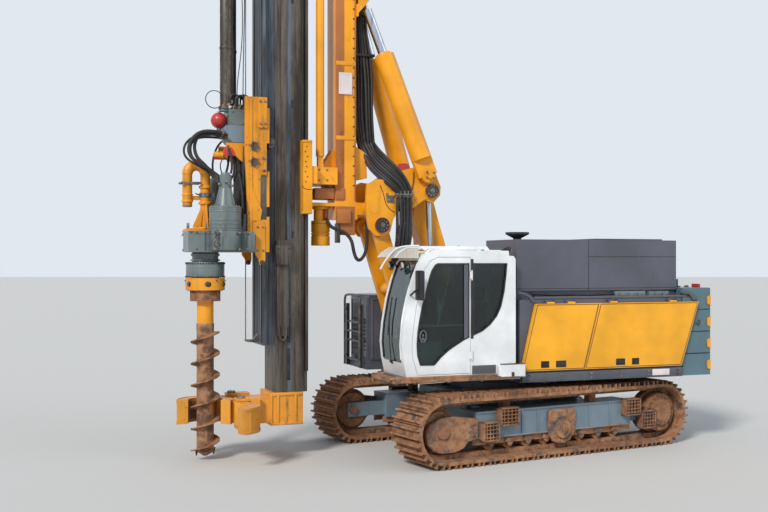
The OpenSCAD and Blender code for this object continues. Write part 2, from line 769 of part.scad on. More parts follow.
// Frame of a boom lift cylinder: origin at its foot, Z along the rod
module along_lift() {
    d = rear_head - lift_foot;
    translate([lift_foot[0], (arm_y[0] + arm_y[1]) / 2, lift_foot[1]])
        rotate([0, atan2(d[0], d[1]), 0]) children();
}
module lift_barrels() {
    w = arm_y[1] - arm_y[0];
    color(yellow) both_sides() along_lift() difference() {
        union() {
            translate([0, w / 2, 0]) rotate([90, 0, 0]) cylinder(r = 105, h = w);
            translate([0, 0, 60]) cylinder(r = lift_neck_r, h = lift_neck_len - 59);
            translate([0, 0, lift_neck_len]) cylinder(r = lift_r, h = lift_barrel_len - lift_neck_len);
        }
        translate([0, w, 0]) rotate([90, 0, 0]) cylinder(r = lift_pin_r + pin_gap, h = 2 * w);
        translate([0, 0, lift_neck_len + 20]) cylinder(r = lift_rod_r + pin_gap, h = lift_barrel_len);
    }
}
module lift_rods() {
    w = arm_y[1] - arm_y[0] - 10;
    len = norm(rear_head - lift_foot);
    color(chrome) both_sides() along_lift() difference() {
        union() {
            translate([0, 0, lift_rod_z]) cylinder(r = lift_rod_r, h = len - lift_rod_z - pin_r - eye_drift - 15);
            translate([0, w / 2, len]) rotate([90, 0, 0]) cylinder(r = pin_r + eye_drift + 30, h = w);
        }
        translate([0, w, len]) rotate([90, 0, 0]) cylinder(r = pin_r + eye_drift, h = 2 * w);
    }
}

// Frame of the left inclination cylinder: origin at its foot, Z along the rod
module along_incline() {
    d = incline_head - incline_foot;
    translate([incline_foot[0], incline_y0, incline_foot[1]]) rotate([0, atan2(d[0], d[1]), 0])
        rotate([atan2(incline_y0 - incline_y1, norm(d)), 0, 0]) children();
}
incline_len = norm([incline_head[0] - incline_foot[0], incline_y0 - incline_y1, incline_head[1] - incline_foot[1]]);
module incline_barrels() {
    color(yellow) both_sides() difference() {
        union() {
            cross_bar(incline_foot, 105, incline_y0 - 50, incline_y0 + 50);
            along_incline() translate([0, 0, incline_neck_len])
                cylinder(r = incline_r, h = incline_barrel_len - incline_neck_len);
            along_incline() block([-incline_r + 5, -incline_neck_t, 0], [incline_r - 5, incline_neck_t, incline_neck_len + 1]);
        }
        cross_bar(incline_foot, top_pin_r + pin_gap, incline_y0 - 130, incline_y0 + 130);
        along_incline() translate([0, 0, incline_bore_z]) cylinder(r = incline_rod_r + pin_gap, h = incline_barrel_len);
    }
}
module incline_rod() {
    color(chrome) difference() {
        union() {
            along_incline() translate([0, 0, incline_rod_z])
                cylinder(r = incline_rod_r, h = incline_len - incline_tail - incline_rod_z);
            along_incline() translate([0, 0, incline_len - incline_tail - 1]) cylinder(r = 30, h = incline_tail - 84);
            cross_bar(incline_head, top_pin_r + eye_drift + 30, incline_y1 - 35, incline_y1 + 35);
        }
        cross_bar(incline_head, top_pin_r + eye_drift, incline_y1 - 100, incline_y1 + 100);
    }
}

module knuckle_hoses() {
    y = clamp_y + seat + knuckle_hose_r;
    color(black) for (i = [0 : 3])
        hose([for (p = [[-20 - i * 75, 790 - i * 20], [-140 - i * 60, 690], [-220 - i * 60, 540],
            [-250 - i * 60, 340], [-250 - i * 60, -110]]) [head[0] + p[0], y, head[1] + p[1]]], knuckle_hose_r);
}

// Mast support

module mast_support() {
    color(yellow) {
        difference() {
            block([beam_x[0], -beam_half, beam_low], [beam_x[1], beam_half, beam_top]);
            block([beam_x[0] + 30, -beam_half + 30, beam_low + 30], [beam_x[1] - 30, beam_half - 30, beam_top + 1]);
        }
        cross_bar(tilt_pin, 115, -cheek_y[0] + 10, cheek_y[0] - 10);
        cross_bar(tilt_pin, pin_r, -cheek_y[1] - 6, cheek_y[1] + 6);
        block([tilt_pin[0], -beam_half, beam_low - 160], [beam_x[0] + 1, beam_half, beam_low + 20]);
        block([beam_x[0] - 20, -beam_half, beam_low - 230], [beam_x[1], beam_half, beam_low + 1]);
        block([beam_x[1] - 1, -beam_half, motor_seat_z], [3120, beam_half, motor_seat_z + 50]);
        block([beam_x[1] - 1, -saddle_half, saddles[0][0]], [3150, saddle_half, saddle_z]);
        difference() {
            block([beam_x[1] - 1, -saddle_half, saddles[1][0]], [3150, saddle_half, saddles[1][1]]);
            translate([shift_x, shift_y, saddles[1][0] - 1]) cylinder(r = shift_rod_r + 5, h = 252);
        }
        both_sides() {
            for (z = [incline_head[1] - 300, incline_head[1] + 120])
                block([beam_x[0] - 25, incline_ear_y[0][0] - 6, z], [beam_x[0] + 1, incline_ear_y[1][1], z + 180]);
            for (y = incline_ear_y) plate([for (p = [[101, -250], [101, 250], [-30, 110], [-80, 0], [-30, -100]])
                incline_head + p], y[0], y[1]);
            cross_bar(incline_head, top_pin_r, incline_ear_y[0][0] + 1, incline_ear_y[1][1] - 1);
        }
        for (z = hose_fins) block([beam_x[0] - 170, -hose_fin, z], [beam_x[0] + 1, hose_fin, z + 40]);
    }
}

// Claws that grip the leader's rear flanges
module guide_claws() {
    color(yellow) both_sides() {
        for (z = claw_z) difference() {
            block([claw_x, leader_half + claw_gap, z], [leader_x + flange_t + 60, flange_half + 90, z + claw_h]);
            block([leader_x - claw_gap, leader_half, z - 1],
                [leader_x + flange_t + claw_gap, flange_half + claw_gap, z + claw_h + 1]);
        }
        for (z = saddles) block([claw_x - 85, leader_half + claw_gap, z[0]], [claw_x + 1, flange_half + 60, z[1]]);
    }
}

module crowd_motor() {
    color(yellow) translate([2910, 0, 0]) {
        translate([0, 0, motor_seat_z - 460]) cylinder(r = 125, h = 460 - seat);
        translate([0, 0, motor_seat_z - 580]) cylinder(r = 140, h = 121);
    }
}

module shift_cylinder() {
    color(yellow) difference() {
        translate([shift_x, shift_y, shift_z]) cylinder(r = shift_r, h = shift_len);
        translate([shift_x, shift_y, shift_z + 200]) cylinder(r = shift_rod_r + pin_gap, h = shift_len);
    }
    color(yellow) block([shift_x - 40, shift_y - 40, saddle_z + seat], [shift_x + 40, shift_y + 40, shift_z + 1]);
}

module mast_hoses() {
    y = hose_fin + seat + mast_hose_r;
    color(black) both_sides() for (i = [0 : 2]) let (x = beam_x[0] - seat - mast_hose_r - i * 46)
        hose([[x, y, 7400], [x, y, 4500], [x - 20, y, 4420]], mast_hose_r);
}

// Leader

module leader() {
    color(mast_brown) {
        difference() {
            union() {
                block([leader_x, -leader_half, leader_z], [rail_x, leader_half, leader_top_z]);
                block([leader_x, -flange_half, leader_z + 300], [leader_x + flange_t, flange_half, leader_top_z]);
            }
            block([leader_x + mast_wall, -leader_half + mast_wall, leader_z - 1],
                [rail_x - mast_wall, leader_half - mast_wall, leader_top_z + 1]);
        }
    }
}
module front_rail() {
    color(mast_brown) {
        difference() {
            union() {
                block([rail_x + seat, -rail_half, rail_z], [rail_front, rail_half, leader_top_z]);
                block([rail_front - flange_t, -rail_flange, rail_z], [rail_front, rail_flange, leader_top_z]);
            }
            block([rail_x + mast_wall, -rail_half + mast_wall, rail_z - 1],
                [rail_front - mast_wall, rail_half - mast_wall, leader_top_z + 1]);
        }
    }
}
module leader_head() {
    color(yellow) {
        both_sides() plate([[sheave_rear_x - 200, leader_top_z + 150], [leader_x, leader_top_z + seat],
            [rail_front, leader_top_z + seat], [sheave_front_x + 200, leader_top_z + 150],
            [sheave_front_x + 200, leader_top_z + 420], [sheave_rear_x - 200, leader_top_z + 420]], 60, 90);
        for (x = [sheave_rear_x, sheave_front_x]) cross_bar([x, sheave_z], 50, -100, 100);
        block([leader_x + 100, -61, leader_top_z + seat], [rail_front - 100, 61, leader_top_z + 100]);
    }
}
module sheave(x) {
    color(mast_brown) difference() {
        union() {
            cross_bar([x, sheave_z], sheave_r, -40, -15);
            cross_bar([x, sheave_z], sheave_r, 15, 40);
            cross_bar([x, sheave_z], sheave_r - 35, -16, 16);
        }
        cross_bar([x, sheave_z], 50 + pin_gap, -50, 50);
    }
}
module shift_rod() {
    top = shift_z + shift_len + 700;
    color(chrome) translate([shift_x, shift_y, shift_z + 530]) cylinder(r = shift_rod_r, h = top - shift_z - 530);
    color(mast_brown) block([shift_x - 50, shift_y - 50, top - 1], [leader_x - seat, shift_y + 50, top + 100]);
}
module chain_tensioner() {
    color(mast_brown) {
        block([3490, leader_half + seat, 1760], [3660, leader_half + 60, 2790]);
        block([3480, leader_half + seat, 2789], [3670, leader_half + 120, 3130]);
    }
}
module leader_foot() {
    color(yellow) {
        block([3260, -leader_half, 480], [rail_x + 60, leader_half, leader_z - seat]);
        block([rail_x + 59, -leader_half, 520], [jaw_pin[0] - 120, leader_half, 860]);
        both_sides() for (z = [[jaw_z[0] - 40, jaw_z[0] - 5], [jaw_z[1] + 5, jaw_z[1] + 40]])
            block([jaw_pin[0] - 260, jaw_pin[1] - 90, z[0]], [jaw_pin[0] + 80, jaw_pin[1] + 90, z[1]]);
        both_sides() block([jaw_pin[0] - 260, jaw_pin[1] - 90, jaw_z[0] - 6], [jaw_pin[0] - 120, jaw_pin[1] + 90, jaw_z[1] + 6]);
        block([jaw_pin[0] - 121, -180, 540], [auger_x - 330, 180, 840]);
        translate([auger_x, 0, jaw_z[0]]) difference() {
            intersection() {
                cylinder(r = collar_r, h = jaw_z[1] - jaw_z[0]);
                linear_extrude(400) polygon([[0, 0], [-500, 500 * tan(38)], [-500, -500 * tan(38)]]);
            }
            translate([0, 0, -1]) cylinder(r = flight_r + 35, h = 500);
        }
        both_sides() translate([jaw_pin[0], jaw_pin[1], jaw_z[0] - 40]) cylinder(r = jaw_pin_r, h = jaw_z[1] - jaw_z[0] + 80);
    }
}

// Turns a jaw outwards about its pin
module opened(angle) {
    translate([jaw_pin[0], jaw_pin[1], 0]) rotate([0, 0, angle]) translate([-jaw_pin[0], -jaw_pin[1], 0]) children();
}

// Left jaw, closed round the auger in front of the fixed collar
module jaw() {
    h = jaw_z[1] - jaw_z[0];
    color(yellow) difference() {
        union() {
            translate([jaw_pin[0], jaw_pin[1], jaw_z[0]]) cylinder(r = 95, h = h);
            block([jaw_pin[0], jaw_pin[1] - 60, jaw_z[0]], [auger_x - 170, jaw_pin[1] + 60, jaw_z[1]]);
            translate([auger_x, 0, jaw_z[0]]) intersection() {
                cylinder(r = collar_r, h = h);
                linear_extrude(h) polygon([[0, 4], [500, 4], [500, 500], [-500 / tan(48), 500]]);
            }
        }
        translate([auger_x, 0, jaw_z[0] - 1]) cylinder(r = flight_r + 35, h = h + 2);
        translate([jaw_pin[0], jaw_pin[1], jaw_z[0] - 1]) cylinder(r = jaw_pin_r + pin_gap, h = h + 2);
    }
}

// Sledge and rotary drive

module sledge() {
    side = [[3925, 3300], [3925, 4060], [3830, 4060], [3830, 5150], [4140, 5150], [4140, 4350], [4110, 3700],
        [4050, 3300]];
    color(yellow) {
        both_sides() {
            plate(side, rail_flange + 40, rail_flange + 90);
            for (z = [2960, 3600, 4500]) difference() {
                block([rail_front - flange_t - 30, rail_half + claw_gap, z], [sledge_x + 60, rail_flange + 90, z + 500]);
                block([rail_front - flange_t - claw_gap, rail_half, z - 1], [rail_front + claw_gap, rail_flange + claw_gap, z + 501]);
            }
            block([sledge_x + 20, rail_flange + 40, 2960], [sledge_x + 60, rail_flange + 90, 5000]);
        }
        block([sledge_x + 20, -rail_flange - 41, 3000], [sledge_x + 60, rail_flange + 41, 5000]);
        both_sides() plate([[4089, 4190], [4089, 4505], [4380, 4505], [4380, 4440]], 250, 290);
    }
}

module rotary_drive() {
    color(drive_grey) difference() {
        union() {
            translate([0, 0, box_z[0]]) linear_extrude(box_z[1] - box_z[0]) polygon(box_outline);
            block([drive_x, -330, box_z[1] - 1], [4170, 330, 3500]);
            both_sides() translate([motor_x, motor_y, box_z[0] + 20]) cylinder(r = motor_r, h = box_z[1] - box_z[0] - 20);
        }
        block([3980, -rail_flange - 100, box_z[0] - 1], [drive_x, rail_flange + 100, box_z[1] + 1]);
        translate([auger_x, 0, box_z[0] - 1]) cylinder(r = 80, h = 60);
    }
}

module drive_motors() {
    color(drive_grey) both_sides() translate([motor_x, motor_y, box_z[1] + seat]) {
        cylinder(r = motor_r, h = 340);
        translate([0, 0, 339]) cylinder(r1 = 150, r2 = 90, h = 260);
        translate([0, 0, 598]) cylinder(r = 90, h = 190);
    }
}

module gooseneck() {
    color(yellow) translate([auger_x, 0, 0]) {
        translate([0, 0, box_z[1] + seat]) cylinder(r = 170, h = 40);
        translate([0, 0, box_z[1] + 39]) cylinder(r = 70, h = arch_z - box_z[1] - 38);
        translate([arch_r, 0, arch_z]) rotate([90, 0, 0]) rotate_extrude(angle = 180) translate([arch_r, 0]) circle(76);
        translate([2 * arch_r, 0, 3620]) cylinder(r = 70, h = arch_z - 3619);
        block([60, -20, 3700], [2 * arch_r - 60, 20, 3760]);
    }
}

module manifold() {
    color(drive_grey) {
        block([drive_x, -200, manifold_z[0]], [manifold_front, 300, manifold_z[1]]);
        block([manifold_front - 1, tube_at[0][1] - tube_r, manifold_z[1] - 30],
            [tube_at[0][0] + tube_r, tube_at[0][1] + tube_r, manifold_z[1]]);
        translate(store_at) sphere(r = store_r);
        block([manifold_front - 1, store_at[1] - 60, store_at[2] - 50],
            [store_at[0] - store_r + 30, store_at[1] + 60, store_at[2] + 50]);
    }
}

module extension_tubes() {
    color(mast_brown) for (place = tube_at)
        translate([place[0], place[1], manifold_z[1] + seat]) cylinder(r = tube_r, h = tube_len);
}

module drive_hoses() {
    color(black) for (i = [0, 1]) let (y = 150 + i * 60)
        hose(concat([[manifold_front + seat, y, 4590]], bend([[4400, y, 4590], [4700, y, 4720 - i * 40],
            [5080 - i * 120, y, 4560], [4880, y - 40, 4240 + i * 10]], 10)), 26);
}

module spindle() {
    color(mast_brown) translate([auger_x, 0, 0]) {
        translate([0, 0, 2820]) cylinder(r = 185, h = spindle_top - 2820);
        translate([0, 0, 2606]) cylinder(r = 270, h = 215);
        translate([0, 0, 2592]) cylinder(r = 200, h = 15);
    }
    color(yellow) translate([auger_x, 0, 0]) {
        difference() {
            translate([0, 0, 2421]) cylinder(r = 278, h = 172);
            translate([0, 300, 2506]) rotate([90, 0, 0]) cylinder(r = 35, h = 200);
        }
        translate([0, 0, 2264]) cylinder(r = 213, h = 158);
        translate([0, 0, 1850]) cylinder(r = auger_r - 4, h = 415);
    }
}

module auger() {
    turns = (1830 - auger_tip_z - 80) / flight_pitch;
    steps = 16;
    n = floor(turns * steps);
    t = 16;
    color(mud) translate([auger_x, 0, 0]) {
        translate([0, 0, auger_tip_z + 60]) cylinder(r = auger_r, h = 1850 - seat - auger_tip_z - 60);
        translate([0, 0, auger_tip_z]) cylinder(r1 = 30, r2 = auger_r, h = 61);
        flight(n, steps, auger_tip_z + 70, t);
    }
}
module flight(n, steps, z0, t) {
    pts = [for (i = [0 : n]) let (a = 360 * i / steps, z = z0 + flight_pitch * i / steps)
        for (p = [[auger_r - 5, 0], [flight_r, 0], [flight_r, t], [auger_r - 5, t]])
            [p[0] * cos(a), p[0] * sin(a), z + p[1]]];
    walls = [for (i = [0 : n - 1]) for (k = [0 : 3]) let (a = 4 * i + k, b = 4 * i + (k + 1) % 4)
        for (face = [[a, b + 4, a + 4], [a, b, b + 4]]) face];
    polyhedron(pts, concat(walls, [[3, 2, 1, 0], [4 * n, 4 * n + 1, 4 * n + 2, 4 * n + 3]]));
}

on_tracks() track_unit(1) track_loop();  // track_left
on_tracks() track_unit(-1) track_loop();  // track_right
on_tracks() track_unit(1) track_frame();  // track_frame_left
on_tracks() track_unit(-1) track_frame();  // track_frame_right
on_tracks() track_unit(1) wheels();  // wheels_left
on_tracks() track_unit(-1) wheels();  // wheels_right
on_tracks() carbody();
on_house() deck();
on_house() counterweight();
on_house() machine_house();
on_house() engine_hood();
on_house() engine();
on_house() exhaust();
on_house() cab_shell();
on_house() cab_glass();
on_house() cab_guard();
on_house() operator_seat();
on_house() mirror_arm();  // mirror
on_house() walkway();
on_house() front_cabinet();
on_house() front_ladder();
on_house() cab_door();
on_house() door_glass();
on_house() side_door(door_front, door_split + [door_gap, door_gap]);  // side_door_left_front
on_house() side_door(door_split, door_rear);  // side_door_left_rear
on_house() mirror([0, 1, 0]) side_door(door_front, door_split + [door_gap, door_gap]);  // side_door_right_front
on_house() mirror([0, 1, 0]) side_door(door_split, door_rear);  // side_door_right_rear
on_house() boom();
on_house() rear_link();
on_house() knuckle();
on_house() lift_barrels();
on_house() lift_rods();
on_house() incline_barrels();
on_house() incline_rod();  // incline_rod_left
on_house() mirror([0, 1, 0]) incline_rod();  // incline_rod_right
on_house() knuckle_hoses();
on_house() mast_support();
on_house() guide_claws();
on_house() crowd_motor();
on_house() shift_cylinder();
on_house() mast_hoses();
on_house() leader();
on_house() front_rail();
on_house() leader_head();
on_house() shift_rod();
on_house() sheave(sheave_front_x);  // front_sheave
on_house() sheave(sheave_rear_x);  // rear_sheave
on_house() chain_tensioner();
on_house() leader_foot();
on_house() opened(jaw_open) jaw();  // jaw_left
on_house() mirror([0, 1, 0]) jaw();  // jaw_right
on_house() sledge();
on_house() rotary_drive();
on_house() drive_motors();
on_house() gooseneck();
on_house() manifold();
on_house() extension_tubes();
on_house() drive_hoses();
on_house() spindle();
on_house() auger();
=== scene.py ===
"""Crawler piling rig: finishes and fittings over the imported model.

Metres. +X runs to the mast, +Y to the cab side, +Z up, ground at z = 0.
"""
import math

import bmesh
import bpy
from mathutils import Matrix, Vector


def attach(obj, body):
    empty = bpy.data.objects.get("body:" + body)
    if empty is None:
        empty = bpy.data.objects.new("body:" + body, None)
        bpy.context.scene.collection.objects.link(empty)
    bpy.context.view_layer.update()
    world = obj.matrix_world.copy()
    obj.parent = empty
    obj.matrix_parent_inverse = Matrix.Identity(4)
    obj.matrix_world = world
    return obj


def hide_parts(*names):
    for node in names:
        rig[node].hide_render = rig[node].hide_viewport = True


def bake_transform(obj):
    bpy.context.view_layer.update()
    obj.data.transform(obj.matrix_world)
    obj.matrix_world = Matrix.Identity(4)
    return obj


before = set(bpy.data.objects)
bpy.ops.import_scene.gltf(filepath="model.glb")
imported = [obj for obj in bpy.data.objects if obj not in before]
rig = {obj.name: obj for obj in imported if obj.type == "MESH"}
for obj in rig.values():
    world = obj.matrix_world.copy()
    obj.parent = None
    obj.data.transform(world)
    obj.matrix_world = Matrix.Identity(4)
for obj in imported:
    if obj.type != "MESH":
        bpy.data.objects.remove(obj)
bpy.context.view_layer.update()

SLEW_X = -1.06
TRACK_YAW = math.radians(10)
SMOOTH_BELOW = math.radians(35)
SAME_POINT = 0.0004
NEAR, UP = (0, 1, 0), (0, 0, 1)


def at(x, y, z):
    """A point given from the slewing axis, in the row frame."""
    return Vector((x + SLEW_X, y, z))


def turn_about(pin, angle):
    """A turn by an angle about the upright line through a place in the row frame."""
    return Matrix.Translation(pin) @ Matrix.Rotation(angle, 4, "Z") @ Matrix.Translation(-pin)


def turns(count, extra=0):
    """Angles spread evenly round a circle, with some more past the full turn."""
    return [math.tau * i / count for i in range(count + extra)]


def on_circle(x, y, radius, turn):
    """A place on a circle round x, y."""
    return x + radius * math.cos(turn), y + radius * math.sin(turn)


def facing(axis, way=1):
    """A test for the faces that look along an axis, or against it."""
    index = "XYZ".index(axis)
    return lambda centre, normal: normal[index] * way > 0.9


# Workshop helpers

def put_down():
    """Leaves edit mode and lets go of everything that is selected."""
    if bpy.context.object and bpy.context.object.mode != "OBJECT":
        bpy.ops.object.mode_set(mode="OBJECT")
    bpy.ops.object.select_all(action="DESELECT")


def pick_up(piece):
    put_down()
    piece.select_set(True)
    bpy.context.view_layer.objects.active = piece


def shape(piece, kind, **settings):
    """Adds one modifier and applies it."""
    pick_up(piece)
    modifier = piece.modifiers.new(kind.title(), kind)
    for key, value in settings.items():
        setattr(modifier, key, value)
    bpy.ops.object.modifier_apply(modifier=modifier.name)
    return piece


def round_edges(piece, width, segments=2, angle=35):
    return shape(piece, "BEVEL", width=width, segments=segments, limit_method="ANGLE",
                 angle_limit=math.radians(angle), harden_normals=False)


def settle(piece):
    """Moves a piece's place, turn and size into its mesh."""
    pick_up(piece)
    bpy.ops.object.transform_apply(location=True, rotation=True, scale=True)
    return piece


def block(name, low, high, edge=0.004):
    """A machined block between two corners, given from the slewing axis."""
    low, high = at(*low), at(*high)
    put_down()
    bpy.ops.mesh.primitive_cube_add(size=1, location=(low + high) / 2, scale=high - low)
    piece = bpy.context.object
    piece.name = name
    settle(piece)
    if edge:
        round_edges(piece, edge)
    return piece


def round_bar(name, start, end, radius, top=None, sides=32, edge=0.003):
    """A turned bar, or a cone where top is another radius, between two points from the slewing axis."""
    start, end = at(*start), at(*end)
    run = end - start
    put_down()
    bpy.ops.mesh.primitive_cone_add(vertices=sides, radius1=radius, radius2=radius if top is None else top,
                                    depth=run.length, location=(start + end) / 2,
                                    rotation=run.to_track_quat("Z", "Y").to_euler())
    piece = bpy.context.object
    piece.name = name
    settle(piece)
    if edge:
        round_edges(piece, edge, angle=50)
    return piece


def upright(name, place, low, high, radius, top=None, sides=32, edge=0.003):
    """A round bar that stands at x, y between two heights."""
    return round_bar(name, (*place, low), (*place, high), radius, top, sides, edge)


def crosswise(name, place, start, end, radius, top=None, sides=32, edge=0.003):
    """A round bar that lies at x, z from one y to another."""
    x, z = place
    return round_bar(name, (x, start, z), (x, end, z), radius, top, sides, edge)


def open_edit(piece, chosen=None):
    """Goes into edit mode with the faces selected that the test on centre and normal allows."""
    pick_up(piece)
    bpy.ops.object.mode_set(mode="EDIT")
    bpy.ops.mesh.select_mode(type="FACE")
    mesh = bmesh.from_edit_mesh(piece.data)
    for face in mesh.faces:
        face.select_set(bool(chosen is None or chosen(face.calc_center_median(), face.normal)))
    mesh.select_flush_mode()
    bmesh.update_edit_mesh(piece.data)


def inset_faces(piece, chosen, rim, depth):
    """Insets the chosen faces by rim and pushes them by depth along their normals."""
    open_edit(piece, chosen)
    bpy.ops.mesh.inset(thickness=rim, depth=depth)
    put_down()
    return piece


AXIS_TURNS = {
    "X": Matrix(((0, 0, 1, 0), (1, 0, 0, 0), (0, 1, 0, 0), (0, 0, 0, 1))),
    "Y": Matrix(((1, 0, 0, 0), (0, 0, -1, 0), (0, 1, 0, 0), (0, 0, 0, 1))),
    "Z": Matrix.Identity(4),
}


def tidy_mesh(piece):
    """Merges doubled points and turns every face outwards."""
    open_edit(piece)
    bpy.ops.mesh.select_all(action="SELECT")
    bpy.ops.mesh.remove_doubles(threshold=SAME_POINT)
    bpy.ops.mesh.normals_make_consistent(inside=False)
    put_down()
    return piece


def drawn_curve(name, kind, places, closed, **settings):
    """A curve with one spline through places in the row frame."""
    curve = bpy.data.curves.new(name, "CURVE")
    for key, value in settings.items():
        setattr(curve, key, value)
    line = curve.splines.new(kind)
    line.points.add(len(places) - 1)
    line.use_cyclic_u = closed
    for point, place in zip(line.points, places):
        point.co = (*place, 1)
    return curve


def curve_to_mesh(name, curve):
    piece = bpy.data.objects.new(name, curve)
    bpy.context.collection.objects.link(piece)
    pick_up(piece)
    bpy.ops.object.convert(target="MESH")
    return bpy.context.object


def cut_plate(name, outline, axis, low, high, edge=0.003):
    """A plate cut to an outline and as thick as low to high along axis.

    The outline is (x, z) for Y, (y, z) for X and (x, y) for Z, from the slewing axis.
    """
    curve = drawn_curve(name, "POLY", [(a, b, 0) for a, b in outline], True,
                        dimensions="2D", fill_mode="BOTH", extrude=(high - low) / 2)
    piece = curve_to_mesh(name, curve)
    middle = [(low + high) / 2 if letter == axis else 0 for letter in "XYZ"]
    piece.matrix_world = Matrix.Translation(at(*middle)) @ AXIS_TURNS[axis]
    settle(piece)
    tidy_mesh(piece)
    if edge:
        round_edges(piece, edge, segments=1)
    return piece


def copy_of(piece, name, place):
    """A copy with its own mesh, moved by a matrix."""
    twin = piece.copy()
    twin.data = piece.data.copy()
    twin.name = name
    bpy.context.collection.objects.link(twin)
    twin.data.transform(place)
    return twin


def mirrored(piece, name):
    """The same piece on the other side of the rig."""
    twin = copy_of(piece, name, Matrix.Scale(-1, 4, (0, 1, 0)))
    twin.data.flip_normals()
    return twin


def joined(name, parts):
    parts = [p for p in parts if p]
    put_down()
    for part in parts:
        part.select_set(True)
    bpy.context.view_layer.objects.active = parts[0]
    if len(parts) > 1:
        bpy.ops.object.join()
    piece = bpy.context.object
    piece.name = name
    return piece


def both_sides(name, piece):
    return joined(name, [piece, mirrored(piece, name + "_right")])


def fit(piece, body, finish, slot, *stands_for):
    """Gives a finished piece its material and fixes it to its body, when one is given."""
    piece.data.materials.clear()
    piece.data.materials.append(finish)
    pick_up(piece)
    bpy.ops.object.shade_smooth_by_angle(angle=SMOOTH_BELOW)
    put_down()
    if body:
        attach(piece, body)
    if stands_for:
        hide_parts(*stands_for)
    return piece


def bent_pipe(name, points, radius, sides=12, order=4):
    """A pipe or hose along a smooth curve through the places given from the slewing axis."""
    curve = drawn_curve(name, "NURBS", [at(*place) for place in points], False, dimensions="3D",
                        bevel_depth=radius,
                        bevel_resolution=max(1, sides // 4 - 1), resolution_u=6, use_fill_caps=True)
    curve.splines[0].order_u = min(order, len(points))
    curve.splines[0].use_endpoint_u = True
    piece = curve_to_mesh(name, curve)
    piece.name = name
    return piece


def seam(name, points, radius=0.006, closed=True):
    """A rubber seal or weld line that follows the given places with sharp corners."""
    curve = drawn_curve(name, "POLY", [at(*place) for place in points], closed,
                        dimensions="3D", bevel_depth=radius, bevel_resolution=1)
    return curve_to_mesh(name, curve)


def hex_bolt(size, height):
    """One bolt head with its washer, standing on the origin along Z."""
    put_down()
    bpy.ops.mesh.primitive_cylinder_add(vertices=16, radius=size * 1.25, depth=height * 0.3,
        location=(0, 0, height * 0.15))
    washer = settle(bpy.context.object)
    put_down()
    bpy.ops.mesh.primitive_cylinder_add(vertices=6, radius=size, depth=height, location=(0, 0, height * 0.5))
    head = settle(bpy.context.object)
    inset_faces(head, facing("Z"), size * 0.18, height * 0.12)
    return joined("bolt", [washer, head])


def bolts(name, places, direction, size=0.012, height=0.012):
    """The same bolt at many places, all pointing one way."""
    model = hex_bolt(size, height)
    turn = Vector(direction).to_track_quat("Z", "Y").to_matrix().to_4x4()
    parts = [copy_of(model, name + "_copy", Matrix.Translation(at(*p)) @ turn) for p in places]
    bpy.data.objects.remove(model)
    return joined(name, parts)


def ring_of(centre, axis, radius, count, start=0.0):
    """Places round a circle in the plane across axis, which is X, Y or Z."""
    x, y, z = centre
    places = []
    for i in range(count):
        turn = start + 2 * math.pi * i / count
        a, b = radius * math.cos(turn), radius * math.sin(turn)
        places.append({"X": (x, y + a, z + b), "Y": (x + a, y, z + b), "Z": (x + a, y + b, z)}[axis])
    return places


# Finishes

def srgb(red, green, blue):
    """A colour as it is read off a paint chart, made linear."""
    def linear(value):
        value /= 255
        return value / 12.92 if value <= 0.04045 else ((value + 0.055) / 1.055) ** 2.4
    return (linear(red), linear(green), linear(blue), 1.0)


class Mixer:
    """Short names for the shader nodes that the finishes share."""

    def __init__(self, name):
        self.material = bpy.data.materials.new(name)
        self.material.use_nodes = True
        self.tree = self.material.node_tree
        self.shader = self.tree.nodes["Principled BSDF"]
        self.place = self.tree.nodes.new("ShaderNodeTexCoord").outputs["Object"]

    def node(self, kind, inputs=None, **settings):
        made = self.tree.nodes.new(kind)
        for key, value in settings.items():
            setattr(made, key, value)
        for key, value in (inputs or {}).items():
            self.feed(made.inputs[key], value)
        return made

    def feed(self, socket, value):
        if isinstance(value, bpy.types.NodeSocket):
            self.tree.links.new(value, socket)
        else:
            socket.default_value = value

    def stretched(self, scale):
        return self.node("ShaderNodeMapping", {"Vector": self.place, "Scale": scale}).outputs["Vector"]

    def noise(self, scale, detail, rough=0.6, stretch=None):
        where = self.stretched(stretch) if stretch else self.place
        return self.node("ShaderNodeTexNoise", {"Vector": where, "Scale": scale, "Detail": detail,
                                                "Roughness": rough}).outputs["Fac"]

    def band(self, value, low, high, to_low=0.0, to_high=1.0):
        made = self.node("ShaderNodeMapRange", {"Value": value, "From Min": low, "From Max": high,
                                                "To Min": to_low, "To Max": to_high})
        made.interpolation_type = "SMOOTHSTEP"
        return made.outputs["Result"]

    def math(self, kind, a, b):
        return self.node("ShaderNodeMath", {0: a, 1: b}, operation=kind, use_clamp=True).outputs[0]

    def mix(self, share, a, b):
        made = self.node("ShaderNodeMix", data_type="RGBA")
        for key, value in zip((0, 6, 7), (share, a, b)):
            self.feed(made.inputs[key], value)
        return made.outputs[2]

    def height(self):
        split = self.node("ShaderNodeSeparateXYZ", {"Vector": self.place})
        return split.outputs["Z"]

    def bump(self, value, strength, distance):
        made = self.node("ShaderNodeBump", {"Height": value, "Strength": strength, "Distance": distance})
        self.tree.links.new(made.outputs["Normal"], self.shader.inputs["Normal"])

    def finish(self, colour, rough, **constants):
        self.feed(self.shader.inputs["Base Color"], colour)
        self.feed(self.shader.inputs["Roughness"], rough)
        for key, value in constants.items():
            self.shader.inputs[key.replace("_", " ")].default_value = value
        return self.material


SOIL = srgb(150, 104, 72)
DRY_SOIL = srgb(176, 132, 98)
OIL = srgb(44, 36, 30)
RUST = srgb(112, 66, 40)


